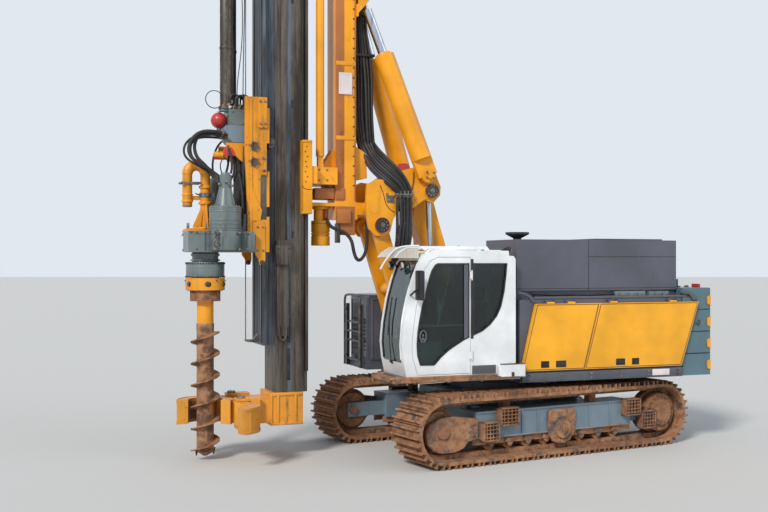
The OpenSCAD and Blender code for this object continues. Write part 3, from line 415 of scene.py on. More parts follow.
def paint(name, colour, grime, chips, rough, mud_top=0.0, coat=0.25, bare=RUST):
    """Sprayed paint: slight fading, oily streaks that run down, chips, and dried soil below mud_top."""
    m = Mixer(name)
    fade = m.band(m.noise(1.3, 3), 0.3, 0.75)
    faded = tuple(min(1.0, c * 1.12 + 0.003) for c in colour[:3]) + (1.0,)
    deep = tuple(c * 0.82 for c in colour[:3]) + (1.0,)
    shade = m.mix(fade, deep, faded)
    run = m.noise(9, 5, 0.65, (1.0, 1.0, 0.09))
    patch = m.noise(2.2, 6, 0.7)
    dirt = m.math("MULTIPLY", m.band(run, 0.62 - 0.2 * grime, 0.86 - 0.1 * grime), m.band(patch, 0.35, 0.7))
    dirt = m.math("MULTIPLY", dirt, min(1.0, 0.35 + grime))
    shade = m.mix(dirt, shade, OIL)
    spots = m.noise(26, 3, 0.55)
    chip = m.math("MULTIPLY", m.band(spots, 0.69 - 0.06 * chips, 0.72 - 0.05 * chips),
        m.band(patch, 0.48, 0.6, 0.0, chips * 2))
    shade = m.mix(chip, shade, bare)
    rough_here = m.band(m.math("ADD", dirt, chip), 0.0, 1.0, rough, 0.75)
    relief = m.noise(60, 2, 0.5)
    if mud_top > 0:
        level = m.band(m.height(), mud_top, mud_top * 0.45)
        cake = m.band(m.math("ADD", m.math("MULTIPLY", m.noise(3.2, 6, 0.68), 0.62),
            m.math("MULTIPLY", level, 0.5)), 0.44, 0.56)
        soil = m.mix(m.band(m.noise(7, 4), 0.35, 0.68), SOIL, DRY_SOIL)
        shade = m.mix(cake, shade, soil)
        rough_here = m.band(cake, 0.0, 1.0, rough + 0.05, 0.95)
        relief = m.math("ADD", m.math("MULTIPLY", cake, 0.5), m.math("MULTIPLY", m.noise(38, 6, 0.75), 0.5))
        m.bump(relief, 0.7, 0.02)
    else:
        m.bump(relief, 0.06, 0.004)
    return m.finish(shade, rough_here, Coat_Weight=coat, Coat_Roughness=0.18)


def worked_steel(name, dark, pale, grease, rust, stretch=(1.0, 1.0, 0.05)):
    """Bare or greased steel with long marks along the mast."""
    m = Mixer(name)
    long_marks = m.noise(14, 6, 0.7, stretch)
    shade = m.mix(m.band(long_marks, 0.35, 0.66), dark, pale)
    greased = m.band(m.noise(1.7, 5, 0.6, (1.0, 1.0, 0.35)), 0.5, 0.68)
    shade = m.mix(m.math("MULTIPLY", greased, 0.75), shade, grease)
    rusty = m.math("MULTIPLY", m.band(m.noise(5, 6, 0.7), 0.56, 0.7), rust)
    shade = m.mix(rusty, shade, RUST)
    m.bump(m.noise(45, 4, 0.6, (1.0, 1.0, 0.25)), 0.16, 0.006)
    return m.finish(shade, m.band(m.math("ADD", greased, rusty), 0.0, 1.2, 0.5, 0.3), Metallic=0.55)


def caked_steel(name, steel, cover):
    """Crawler steel under soil: bare on the runs, filled in the corners."""
    m = Mixer(name)
    cake = m.band(m.noise(4.5, 7, 0.7), 0.62 - 0.36 * cover, 0.74 - 0.3 * cover)
    soil = m.mix(m.band(m.noise(9, 5, 0.65), 0.36, 0.66), SOIL, DRY_SOIL)
    soil = m.mix(m.band(m.noise(1.1, 4), 0.45, 0.7, 0.0, 0.55), soil, srgb(112, 72, 50))
    shade = m.mix(cake, steel, soil)
    rough_grain = m.math("ADD", m.math("MULTIPLY", m.noise(30, 8, 0.8), 0.6), m.math("MULTIPLY", cake, 0.4))
    m.bump(rough_grain, 0.9, 0.03)
    return m.finish(shade, m.band(cake, 0.0, 1.0, 0.5, 0.97), Metallic=0.0)


def rubber(name, colour):
    """Hose rubber with a woven cover and dust on it."""
    m = Mixer(name)
    weave = m.node("ShaderNodeTexVoronoi", {"Vector": m.place, "Scale": 190.0}).outputs["Distance"]
    dust = m.band(m.noise(6, 5), 0.48, 0.75, 0.0, 0.5)
    shade = m.mix(dust, colour, srgb(92, 84, 76))
    m.bump(weave, 0.25, 0.003)
    return m.finish(shade, m.band(dust, 0, 0.5, 0.55, 0.85))


def moulded(name, colour, rough=0.5):
    m = Mixer(name)
    grain = m.noise(160, 3, 0.5)
    shade = m.mix(m.band(m.noise(3, 4), 0.4, 0.8, 0.0, 0.35), colour, srgb(110, 100, 90))
    m.bump(grain, 0.12, 0.002)
    return m.finish(shade, m.band(grain, 0.3, 0.7, rough - 0.06, rough + 0.08))


def chromed(name):
    m = Mixer(name)
    shade = m.mix(m.band(m.noise(20, 4, 0.6, (1.0, 1.0, 0.1)), 0.45, 0.7), srgb(190, 196, 204),
        srgb(140, 146, 154))
    return m.finish(shade, m.band(m.noise(60, 3), 0.3, 0.7, 0.12, 0.26), Metallic=1.0)


def tinted_glass(name, colour):
    m = Mixer(name)
    smear = m.band(m.noise(4, 6, 0.7), 0.5, 0.8, 0.02, 0.16)
    shade = m.mix(m.band(m.noise(2.5, 5), 0.55, 0.8, 0.0, 0.25), colour, srgb(120, 118, 108))
    return m.finish(shade, smear, Transmission_Weight=0.96, IOR=1.45)


yellow = paint("rig_yellow", srgb(240, 160, 8), grime=0.42, chips=0.35, rough=0.42, coat=0.14)
door_yellow = paint("door_yellow", srgb(243, 170, 18), grime=0.02, chips=0.03, rough=0.38, coat=0.25)
work_yellow = paint("greased_yellow", srgb(226, 148, 16), grime=0.8, chips=0.7, rough=0.45, coat=0.15)
# A brownish yellow for parts of the mast support: partly grime, partly painted shade.
shade_and_grime_yellow = paint("shade_and_grime_yellow", srgb(176, 104, 46), grime=0.8, chips=0.8, rough=0.5, coat=0.1)
foot_yellow = paint("foot_yellow", srgb(224, 150, 36), grime=0.5, chips=0.6, mud_top=0.62, rough=0.5)
cab_white = paint("cab_white", srgb(236, 239, 240), grime=0.08, chips=0.05, mud_top=1.34, rough=0.3,
    coat=0.5, bare=srgb(130, 128, 124))
hood_grey = paint("hood_grey", srgb(82, 84, 95), grime=0.08, chips=0.04, rough=0.42, coat=0.2,
    bare=srgb(120, 120, 122))
deck_grey = paint("deck_grey", srgb(78, 82, 90), grime=0.3, chips=0.2, mud_top=1.16, rough=0.5)
weight_blue = paint("weight_blue", srgb(84, 114, 124), grime=0.3, chips=0.3, rough=0.5)
frame_blue = paint("frame_blue", srgb(112, 130, 142), grime=0.5, chips=0.3, mud_top=0.46, rough=0.55)
drive_grey = paint("drive_grey", srgb(104, 116, 116), grime=0.75, chips=0.3, rough=0.42)
dark_steel = worked_steel("mast_steel", srgb(58, 53, 48), srgb(112, 104, 94), srgb(48, 40, 34), rust=0.35)
rail_steel = worked_steel("rail_steel", srgb(58, 66, 76), srgb(104, 114, 124), srgb(46, 44, 44), rust=0.15)
rope_steel = worked_steel("rope_steel", srgb(70, 68, 66), srgb(130, 126, 120), srgb(50, 44, 40), rust=0.1,
    stretch=(1, 1, 1))
bolt_steel = worked_steel("bolt_steel", srgb(84, 80, 76), srgb(150, 146, 140), srgb(60, 52, 44), rust=0.4,
    stretch=(1, 1, 1))
track_steel = caked_steel("track_steel", srgb(92, 82, 74), cover=0.85)
auger_steel = caked_steel("auger_steel", srgb(104, 72, 56), cover=0.7)
muddy_plate = caked_steel("muddy_plate", srgb(96, 92, 88), cover=0.75)
black_rubber = rubber("black_rubber", srgb(34, 33, 34))
black_moulding = moulded("black_moulding", srgb(24, 24, 26))
post_grey = moulded("post_grey", srgb(88, 92, 100), 0.5)
bar_grey = moulded("bar_grey", srgb(212, 214, 218), 0.4)
red_paint = paint("red_paint", srgb(190, 52, 44), grime=0.5, chips=0.3, rough=0.45)
chrome = chromed("rod_chrome")
glass = tinted_glass("window_glass", srgb(122, 140, 140))
seat_cloth = moulded("seat_cloth", srgb(38, 38, 42), 0.9)
panel_beige = paint("panel_beige", srgb(206, 200, 184), grime=0.25, chips=0.05, rough=0.55,
    bare=srgb(130, 128, 124))
blank_plate = paint("blank_plate", srgb(232, 220, 218), grime=0.2, chips=0.05, rough=0.5,
    bare=srgb(130, 128, 124))

NODE_FINISH = {
    "track_left": track_steel, "track_right": track_steel,
    "wheels_left": track_steel, "wheels_right": track_steel,
    "track_frame_left": frame_blue, "track_frame_right": frame_blue, "carbody": frame_blue,
    "deck": deck_grey, "counterweight": weight_blue, "machine_house": hood_grey, "engine_hood": hood_grey,
    "engine": drive_grey, "exhaust": black_moulding,
    "cab_shell": cab_white, "cab_glass": glass, "cab_guard": cab_white, "operator_seat": seat_cloth,
    "mirror": black_moulding, "walkway": muddy_plate, "front_cabinet": hood_grey, "front_ladder": deck_grey,
    "cab_door": cab_white, "door_glass": glass,
    "side_door_left_front": door_yellow, "side_door_left_rear": door_yellow,
    "side_door_right_front": door_yellow, "side_door_right_rear": door_yellow,
    "boom": yellow, "rear_link": yellow, "knuckle": yellow, "lift_barrels": yellow, "lift_rods": chrome,
    "incline_barrels": yellow, "incline_rod_left": chrome, "incline_rod_right": chrome,
    "knuckle_hoses": black_rubber, "mast_hoses": black_rubber, "drive_hoses": black_rubber,
    "mast_support": yellow, "guide_claws": yellow, "crowd_motor": yellow, "shift_cylinder": yellow,
    "leader": dark_steel, "front_rail": rail_steel, "leader_head": yellow, "shift_rod": dark_steel,
    "front_sheave": rope_steel, "rear_sheave": rope_steel, "chain_tensioner": dark_steel,
    "leader_foot": foot_yellow, "jaw_left": foot_yellow, "jaw_right": foot_yellow,
    "sledge": work_yellow, "rotary_drive": drive_grey, "drive_motors": drive_grey, "gooseneck": work_yellow,
    "manifold": drive_grey, "extension_tubes": dark_steel, "spindle": work_yellow, "auger": auger_steel,
}
for name, finish in NODE_FINISH.items():
    piece = rig[name]
    piece.data.materials.clear()
    piece.data.materials.append(finish)
    pick_up(piece)
    bpy.ops.object.shade_smooth_by_angle(angle=SMOOTH_BELOW)
put_down()

# Hoses and ropes

def ferrule(x, y, z, turn, radius, length):
    """A crimped hose end with its nut."""
    way = Vector(turn).normalized()
    start = Vector((x, y, z))
    sleeve = round_bar("ferrule", start, start + way * length, radius, sides=16)
    nut = round_bar("nut", start + way * length, start + way * (length + 0.025), radius * 1.25, sides=6,
        edge=0.002)
    return joined("ferrule", [sleeve, nut])


def mast_hose_pack():
    """Twelve hoses down the back of the mast support, in six rows of two, held by clamps."""
    hoses, clamps = [], []
    for row in range(6):
        for side in (-1, 1):
            narrow, wide = 2.396 - 0.034 * row, 2.386 - 0.054 * row
            y = side * (0.028 + 0.004 * (row % 2))
            sway = 0.012 * math.sin(2.1 * row + side)
            hoses.append(bent_pipe("mast_hose", [
                (narrow, y, 7.40), (narrow, y, 7.24), (narrow - sway, y, 6.75), (narrow + sway, y, 6.30),
                (wide, y, 5.75), (wide - sway, y + 0.03, 5.30), (wide - sway, y + 0.03, 4.95),
                (2.318 - 0.046 * row, y + 0.01, 4.60), (2.290 - 0.042 * row, y + 0.01, 4.50)],
                (0.021, 0.025, 0.018)[(row + (side > 0)) % 3]))
    for z, low_x, high_y in ((5.92, 2.080, 0.076), (6.52, 2.165, 0.062), (7.30, 2.180, 0.060)):
        clamps.append(block("hose_clamp", (low_x, -0.058, z - 0.020), (2.428, high_y, z + 0.020), 0.004))
    fit(joined("mast_hose_pack", hoses), "mast_support", black_rubber, "black_rubber", "mast_hoses")
    fit(joined("mast_hose_clamps", clamps), "mast_support", black_moulding, "black_plastic")


def knuckle_hose_pack():
    """The hose bundle from the mast support round to the near cheek of the knuckle, and on to the boom."""
    crossing, hanging, ends, unions = [], [], [], []
    count = 12
    for i in range(count):
        up = i / (count - 1)
        row, side = i // 2, (1 if i % 2 else -1)
        near = 0.030 * (i % 3 - 1)
        thick = (0.021, 0.025, 0.018, 0.023)[i % 4]
        crossing.append(bent_pipe("crossing_hose", [
            (2.318 - 0.046 * row, side * 0.028 + 0.01, 4.62), (2.290 - 0.042 * row, side * 0.028 + 0.01,
                4.52 + 0.08 * up),
            (2.235 - 0.15 * up, 0.15 + near, 4.27 + 0.25 * up),
            (2.15 - 0.13 * up, 0.31 + near, 4.12 + 0.27 * up),
            (2.05 - 0.16 * up, 0.43 + near * 0.8, 4.00 + 0.23 * up),
            (1.945 - 0.19 * up, 0.482 + near * 0.8, 3.92 + 0.15 * up),
            (1.875 - 0.198 * up, 0.482 + near * 0.7, 3.86 + 0.04 * up),
            (1.872 - 0.214 * up, 0.476 + near * 0.6, 3.80)], thick))
        x, y = 1.872 - 0.214 * up, 0.476 + near * 0.6
        unions.append(upright("hose_union", (x, y), 3.772, 3.868, thick + 0.003, sides=12, edge=0.002))
        sway = 0.022 * math.sin(2.3 * i)
        end = (1.93 - 0.012 * i, 0.362, 2.80 + 0.02 * (i % 3))
        hanging.append(bent_pipe("hanging_hose", [
            (x, y, 3.80), (x + sway * 0.3, y, 3.70), (x + sway, y + sway * 0.4, 3.46),
            (x - sway * 0.7, y - sway * 0.3, 3.22), (x + 0.01, y - 0.02, 3.04),
            (x * 0.5 + end[0] * 0.5, 0.41, 2.92), end], (0.017, 0.013, 0.019, 0.015)[i % 4]))
        ends.append(ferrule(*end, (0.2, -0.25, -0.9), 0.02, 0.05))
    bundle = fit(joined("knuckle_hose_bundle", crossing), None, black_rubber, "black_rubber",
        "knuckle_hoses")
    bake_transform(bundle)
    fan = fit(joined("boom_hose_fan", hanging), None, black_rubber, "black_rubber")
    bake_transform(fan)
    fit(joined("boom_hose_ends", ends), "boom", rope_steel, "drive_paint")
    bulkhead = [cut_plate("hose_bracket", [(2.028, 3.836), (1.640, 3.836), (1.640, 3.800), (1.905, 3.800),
                    (1.893, 3.690), (2.012, 3.700)], "Y", 0.4105, 0.4225),
                block("hose_bulkhead", (1.632, 0.412, 3.804), (1.905, 0.536, 3.826), 0.003),
                bolts("bulkhead_bolts", [(2.00, 0.4225, 3.81), (2.00, 0.4225, 3.73), (1.92, 0.4225, 3.72)],
                    NEAR, 0.011, 0.011)]
    fit(joined("knuckle_hose_clamp", bulkhead + unions), "knuckle", bolt_steel, "mast_steel")
    loop = bent_pipe("motor_hose_loop", [
        (2.842, 0.10, 3.45), (2.838, 0.19, 3.36), (2.780, 0.235, 3.31), (2.606, 0.25, 3.261),
        (2.497, 0.25, 3.144), (2.482, 0.25, 2.997), (2.430, 0.25, 2.835), (2.345, 0.25, 2.850),
        (2.270, 0.26, 2.998), (2.272, 0.28, 3.219), (2.296, 0.30, 3.43), (2.290, 0.32, 3.56)], 0.026)
    loop = fit(loop, None, black_rubber, "black_rubber")
    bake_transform(loop)


def drive_hose_pack():
    """The four hoses that loop from the valve block over to the hydraulic motors."""
    hoses, ends = [], []
    for i, (y, reach) in enumerate(((0.235, 0.0), (0.175, -0.10), (0.115, 0.05), (0.055, -0.06))):
        top = 4.64 - 0.018 * i
        hoses.append(bent_pipe("drive_hose", [
            (4.352, y, top), (4.46, y + 0.01, top + 0.01), (4.62, y + 0.03, top + 0.03 + reach * 0.3),
            (4.78 + reach * 0.4, y + 0.05, top - 0.01), (4.885 + reach * 0.7, y + 0.07, 4.515),
            (4.925 + reach, y + 0.08, 4.385), (4.885 + reach, y + 0.10, 4.265),
            (4.77 + reach * 0.8, y + 0.11, 4.195), (4.62, y + 0.10 + i * 0.02, 4.12 - i * 0.012),
            (4.50, 0.345 + i * 0.012, 4.02 - i * 0.03)], 0.025 if i < 2 else 0.017))
        ends.append(ferrule(4.352, y, top, (-1, 0, 0), 0.030 if i < 2 else 0.022, 0.0))
        ends.append(ferrule(4.43, y + 0.008, top + 0.008, (-1, 0, 0), 0.031 if i < 2 else 0.023, 0.06))
    fit(joined("drive_hose_pack", hoses), "sledge", black_rubber, "black_rubber", "drive_hoses")
    fit(joined("drive_hose_ends", ends), "sledge", bolt_steel, "drive_paint")


def pull_rope():
    """The rope between the front rail and the sledge, from the head sheave to its bracket at the foot."""
    rope = [bent_pipe("rope", [(4.052, 0, 14.87), (4.037, 0, 12.60), (4.037, 0, 1.69)], 0.0075, sides=8,
                order=2),
            bent_pipe("rope_over", [(4.282, 0, 15.088), (3.14, 0, 15.088)], 0.0075, sides=8, order=2)]
    fit(joined("pull_rope", rope), "leader", rope_steel, "mast_steel")
    bracket = [cut_plate("rope_bracket", [(3.858, 1.660), (4.000, 1.660), (4.048, 1.675), (4.048, 1.700),
                   (3.930, 1.700), (3.858, 1.790)], "Y", -0.030, 0.030),
               bolts("rope_bolts", [(3.93, 0.030, 1.680), (4.01, 0.030, 1.687)], NEAR, 0.008, 0.008)]
    fit(joined("rope_bracket", bracket), "leader", bolt_steel, "mast_steel")


mast_hose_pack()
knuckle_hose_pack()
drive_hose_pack()
pull_rope()

# Mast

LEADER_LOW, LEADER_TOP = 0.96, 14.58
RAIL_LOW, RAIL_TOP = 1.66, 14.56
CROWD_X = 2.91


def leader_trim():
    """Ribs and lips, rack strips, keyholes and slots along the leader."""
    ribs, strips, dark = [], [], []
    for side in (-1, 1):
        y = side * 0.300
        low, high = sorted((y, y + side * 0.012))
        ribs.append(block("leader_rib", (3.505, low, LEADER_LOW), (3.590, high, LEADER_TOP), 0.003))
        ribs.append(block("leader_lip", (3.245, low, LEADER_LOW), (3.285, high, LEADER_TOP), 0.003))
        low, high = sorted((y, y + side * 0.004))
        strips.append(block("rack_strip", (3.440, low, LEADER_LOW), (3.498, high, LEADER_TOP), 0))
        for z, tall in ((5.09, 0.12), (3.61, 0.10), (3.21, 0.10), (6.6, 0.12), (8.6, 0.12), (10.6, 0.12),
            (12.6, 0.12)):
            hole = crosswise("keyhole", (3.418, z + tall * 0.3), y - side * 0.001, y + side * 0.0035, 0.026,
                sides=20, edge=0)
            tail = block("keyhole_tail", (3.401, min(y, y + side * 0.003), z - tall * 0.5),
                (3.435, max(y, y + side * 0.003), z + tall * 0.2), 0)
            dark += [hole, tail]
        for low_z, high_z in ((1.12, 1.58), (1.66, 2.02)):
            bar = block("foot_slot", (3.452, min(y, y + side * 0.006), low_z),
                (3.505, max(y, y + side * 0.006), high_z), 0.001)
            dark.append(bar)
    fit(joined("leader_ribs", ribs), "leader", dark_steel, "mast_steel")
    fit(joined("rack_strips", strips), "leader", rail_steel, "mast_steel")
    fit(joined("leader_slots", dark), "leader", black_moulding, "black_plastic")


def front_rail_trim():
    """Guide strips, the dark hollow and the bolts of the rail that the sledge runs on."""
    bright, dull = [], []
    for side in (-1, 1):
        low, high = sorted((side * 0.192, side * 0.272))
        bright.append(block("guide_strip", (3.859, low, RAIL_LOW), (3.872, high, RAIL_TOP), 0.003))
        low, high = sorted((side * 0.280, side * 0.287))
        dull.append(block("guide_back", (3.700, low, RAIL_LOW), (3.770, high, RAIL_TOP), 0.002))
    for y in (-0.10, 0.0, 0.10):
        dull.append(block("rail_fold", (3.859, y - 0.012, RAIL_LOW), (3.866, y + 0.012, RAIL_TOP), 0.002))
    fit(joined("guide_strips", bright), "leader", dark_steel, "mast_steel")
    fit(joined("guide_backs", dull), "leader", rail_steel, "mast_steel")
    pads = []
    for z in [2.2 + 1.24 * i for i in range(10)]:
        pads += [(3.860, y, z + rise) for y in (-0.155, 0.155) for rise in (0, 0.12)]
    fit(bolts("rail_bolts", pads, (1, 0, 0), 0.010, 0.010), "leader", bolt_steel, "mast_steel")


def tensioner_trim():
    """The bolted box that holds the crowd chain, with its bent guard."""
    parts = [block("tension_box", (3.470, 0.298, 2.78), (3.690, 0.432, 3.06), 0.008),
             bolts("tension_bolts", [(3.50, 0.432, 2.82), (3.66, 0.432, 2.82), (3.50, 0.432, 3.02),
                 (3.66, 0.432, 3.02)], NEAR, 0.013, 0.012),
             bent_pipe("tension_guard", [(3.52, 0.36, 1.90), (3.52, 0.36, 1.74), (3.575, 0.36, 1.66),
                 (3.63, 0.36, 1.74), (3.63, 0.36, 1.90)], 0.022)]
    fit(joined("tension_fittings", parts), "leader", dark_steel, "mast_steel")


leader_trim()
front_rail_trim()
tensioner_trim()


# Mast support, claws and cylinders

def support_trim():
    """Gussets, bands, strips, a blank plate, grease points and bolts of the yellow beam."""
    parts = []
    for side in (-1, 1):
        y = side * 0.10
        parts.append(cut_plate("rear_gusset", [(2.424, 4.56), (2.232, 4.44), (2.216, 4.07), (2.424, 4.03)],
            "Y", y - 0.011, y + 0.011))
        parts.append(cut_plate("front_gusset", [(2.736, 4.50), (2.90, 4.24), (3.02, 4.205), (3.02, 4.13),
            (2.736, 4.10)], "Y", y - 0.013, y + 0.013))
        y = side * 0.200
        low, high = sorted((y, y + side * 0.010))
        for z in (4.62, 5.72, 6.82, 7.92):
            parts.append(block("beam_band", (2.430, low, z), (2.730, high, z + 0.060), 0.003))
    fit(joined("beam_gussets", parts), "mast_support", yellow, "yellow_paint")
    # Thin brownish sheets laid on the beam's side faces: painted shade, with grime in their finish.
    strips = []
    for side in (-1, 1):
        low, high = sorted((side * 0.1995, side * 0.206))
        strips.append(block("beam_shade_strip", (2.606, low, 3.72), (2.738, high, 8.18), 0.002))
        strips.append(block("beam_edge", (2.4225, low, 3.72), (2.447, high, 8.18), 0.002))
    fit(joined("beam_shade_strips", strips), "mast_support", shade_and_grime_yellow, "yellow_paint")
    blank = block("beam_blank", (2.485, 0.205, 5.290), (2.692, 0.222, 5.612), 0.006)
    fit(inset_faces(blank, facing("Y"), 0.018, -0.004), "mast_support", blank_plate, "cab_paint")
    nipples = [(2.46, y, 3.95 + 0.145 * i) for y in (0.201, -0.201) for i in range(26)]
    dots = []
    for x, y, z in nipples:
        dots.append(round_bar("grease_point", (x, y, z), (x, y + math.copysign(0.012, y), z), 0.011,
            sides=10, edge=0.002))
    fit(joined("grease_points", dots), "mast_support", black_moulding, "black_plastic")
    flange = [bolts("motor_flange_bolts", ring_of((CROWD_X, 0, 3.64), "Z", 0.118, 12), UP, 0.010, 0.010),
              bolts("saddle_bolts", [(x, side * 0.416, z) for side in (-1, 1) for x in (2.93, 3.05)
                  for z in (4.00, 4.15, 7.55, 7.70)], NEAR, 0.014, 0.014)]
    fit(joined("support_bolts", flange), "mast_support", bolt_steel, "mast_steel")


def crowd_motor_trim():
    """The crowd motor with its slim neck, toothed ring, side motor and saddle plates; the brownish parts are
    partly grime and partly painted shade.
    """
    body = [upright("motor_drum", (CROWD_X, 0), 3.062, 3.205, 0.139, sides=48, edge=0.008),
            upright("motor_drum", (CROWD_X, 0), 3.262, 3.430, 0.139, sides=48, edge=0.006),
            upright("motor_waist", (CROWD_X, 0), 3.200, 3.268, 0.128, sides=48),
            upright("motor_neck", (2.945, 0.02), 3.425, 3.606, 0.074, sides=32),
            upright("motor_flange", (CROWD_X, 0), 3.600, 3.639, 0.139, sides=48, edge=0.004)]
    for turn in turns(24):
        tooth = block("ring_tooth", (CROWD_X + 0.126, -0.009, 3.222), (CROWD_X + 0.139, 0.009, 3.248), 0)
        tooth.data.transform(turn_about(at(CROWD_X, 0, 0), turn))
        body.append(tooth)
    fit(joined("crowd_motor_body", body), "mast_support", yellow, "yellow_paint", "crowd_motor")
    # These parts take the brownish yellow, which is partly grime and partly painted shade.
    brown = [upright("motor_post", (2.838, 0.045), 3.425, 3.606, 0.036, sides=20),
             upright("motor_ring", (CROWD_X, 0), 3.384, 3.398, 0.1398, sides=48, edge=0.002),
             block("side_motor", (2.515, 0.198, 3.385), (2.735, 0.262, 3.600), 0.014),
             block("saddle_plate", (2.592, 0.198, 3.738), (2.738, 0.214, 3.905), 0.004),
             block("saddle_plate", (2.745, -0.190, 3.745), (3.050, 0.190, 3.905), 0.010)]
    brown += [cut_plate("motor_shelf", [(2.440, 3.215), (2.730, 3.215), (2.730, 3.640), (2.440, 3.640)], "Y",
        0.199, 0.206)]
    fit(joined("motor_saddles", brown), "mast_support", shade_and_grime_yellow, "yellow_paint")
    dark = [block("saddle_block", (2.745, -0.170, 3.950), (3.045, 0.170, 4.055), 0.008),
            block("saddle_cap", (2.745, -0.190, 4.094), (3.055, 0.190, 4.128), 0.004),
            block("saddle_web", (2.745, -0.150, 3.900), (2.860, 0.150, 4.100), 0.004),
            bent_pipe("side_pipe", [(2.73, 0.23, 3.40), (2.71, 0.24, 3.33), (2.70, 0.24, 3.22),
                (2.70, 0.24, 3.12)], 0.022),
            block("side_bracket", (2.672, 0.198, 3.100), (2.752, 0.222, 3.380), 0.004)]
    fit(joined("motor_saddle_steel", dark), "mast_support", dark_steel, "mast_steel")


def claw_trim():
    """Grease points, weld lines and end lips on the four claws."""
    lips, dots, lines = [], [], []
    for side in (-1, 1):
        y = side * 0.450
        for low_z in (3.51, 7.10):
            low, high = sorted((y, y + side * 0.010))
            for z in (low_z + 0.004, low_z + 1.026):
                lips.append(block("claw_lip", (3.174, low, z), (3.318, high, z + 0.030), 0.003))
            for i in range(8):
                x, z = (3.262, 3.236, 3.270, 3.248)[i % 4], low_z + 0.46 + 0.072 * i
                dots.append(crosswise("claw_grease_point", (x, z), y, y + side * 0.008, 0.009, sides=10,
                    edge=0.002))
            arc = [(3.316, y, low_z + 0.400), (3.290, y, low_z + 0.366), (3.250, y, low_z + 0.350),
                (3.176, y, low_z + 0.346)]
            lines.append(seam("claw_weld", arc, 0.005, False))
    fit(joined("claw_lips", lips), "mast_support", yellow, "yellow_paint")
    fit(joined("claw_grease_points", dots + lines), "mast_support", dark_steel, "mast_steel")


def cylinder_end(base, tip, radius, length, name):
    """A gland ring with its ring of bolts at the rod end of a cylinder."""
    base, tip = Vector(base), Vector(tip)
    way = (tip - base).normalized()
    collar = round_bar(name, tip - way * length, tip, radius, sides=32, edge=0.004)
    side = way.orthogonal().normalized()
    other = way.cross(side)
    places = [tip + (side * math.cos(math.pi * i / 4) + other * math.sin(math.pi * i / 4)) * radius * 0.86
        for i in range(8)]
    return joined(name, [collar, bolts(name + "_bolts", places, way, 0.009, 0.010)])


def incline_trim():
    """Gland rings, bands, feed pipes and trunnion bolts of the two inclination cylinders."""
    foot, head = Vector((1.400, 0.500, 4.100)), Vector((2.295, 0.140, 6.750))
    way = (head - foot).normalized()
    glands, pipes = [], []
    tip = foot + way * 1.935
    glands.append(cylinder_end(tip - way, tip, 0.112, 0.085, "incline_gland"))
    glands.append(round_bar("incline_band", foot + way * 0.62, foot + way * 0.66, 0.108, sides=32))
    glands.append(round_bar("incline_band", foot + way * 1.30, foot + way * 1.34, 0.108, sides=32))
    out = Vector((0.28, 0.62, 0.0)).normalized() * 0.112
    pipes.append(bent_pipe("feed_pipe", [foot + way * 0.30 + out * 0.8, foot + way * 0.36 + out * 1.12,
                                         foot + way * 0.9 + out * 1.12,
                                         foot + way * 1.70 + out * 1.12, foot + way * 1.80 + out * 1.1,
                                         foot + way * 1.86 + out * 0.8], 0.013))
    both = joined("incline_glands", glands)
    fit(both_sides("incline_glands", both), "incline_barrels", yellow, "yellow_paint")
    fit(both_sides("incline_feed_pipes", joined("incline_pipe", pipes)), "incline_barrels", black_rubber,
        "black_rubber")
    places = [(1.345, 0.621, 4.06), (1.455, 0.621, 4.06), (1.345, 0.621, 4.14), (1.455, 0.621, 4.14)]
    caps = both_sides("trunnion_bolts", bolts("trunnion_bolts", places, NEAR, 0.016, 0.016))
    fit(caps, "incline_barrels", bolt_steel, "mast_steel")


def lift_trim():
    """Gland rings and feed pipes of the two lifting cylinders."""
    base, tip = Vector((1.200, 0.285, 1.450)), Vector((1.3098, 0.285, 3.8801))
    way = (tip - base).normalized()
    mouth = base + way * 1.50
    gland = cylinder_end(mouth - way, mouth, 0.083, 0.07, "lift_gland")
    fit(both_sides("lift_glands", gland), "lift_barrels", yellow, "yellow_paint")
    side = Vector((0.0, 0.082, 0.0))
    pipe = bent_pipe("lift_pipe", [base + way * 0.22 + side * 0.8, base + way * 0.27 + side * 1.15,
                                   base + way * 0.8 + side * 1.15,
                                   base + way * 1.34 + side * 1.15, base + way * 1.40 + side * 0.8], 0.012)
    fit(both_sides("lift_pipes", pipe), "lift_barrels", black_rubber, "black_rubber")


def pin_cap(x, z, y, radius):
    """A round pin cover with a turned rim and its ring of bolts, facing outwards on the near side."""
    disc = crosswise("pin_cap", (x, z), y, y + 0.018, radius, sides=40)
    inset_faces(disc, facing("Y"), radius * 0.18, -0.006)
    hub = crosswise("pin_end", (x, z), y + 0.010, y + 0.030, radius * 0.34, sides=24)
    return disc, joined("pin_steel",
        [hub, bolts("pin_bolts", ring_of((x, y + 0.016, z), "Y", radius * 0.66, 10), NEAR, 0.010, 0.012)])


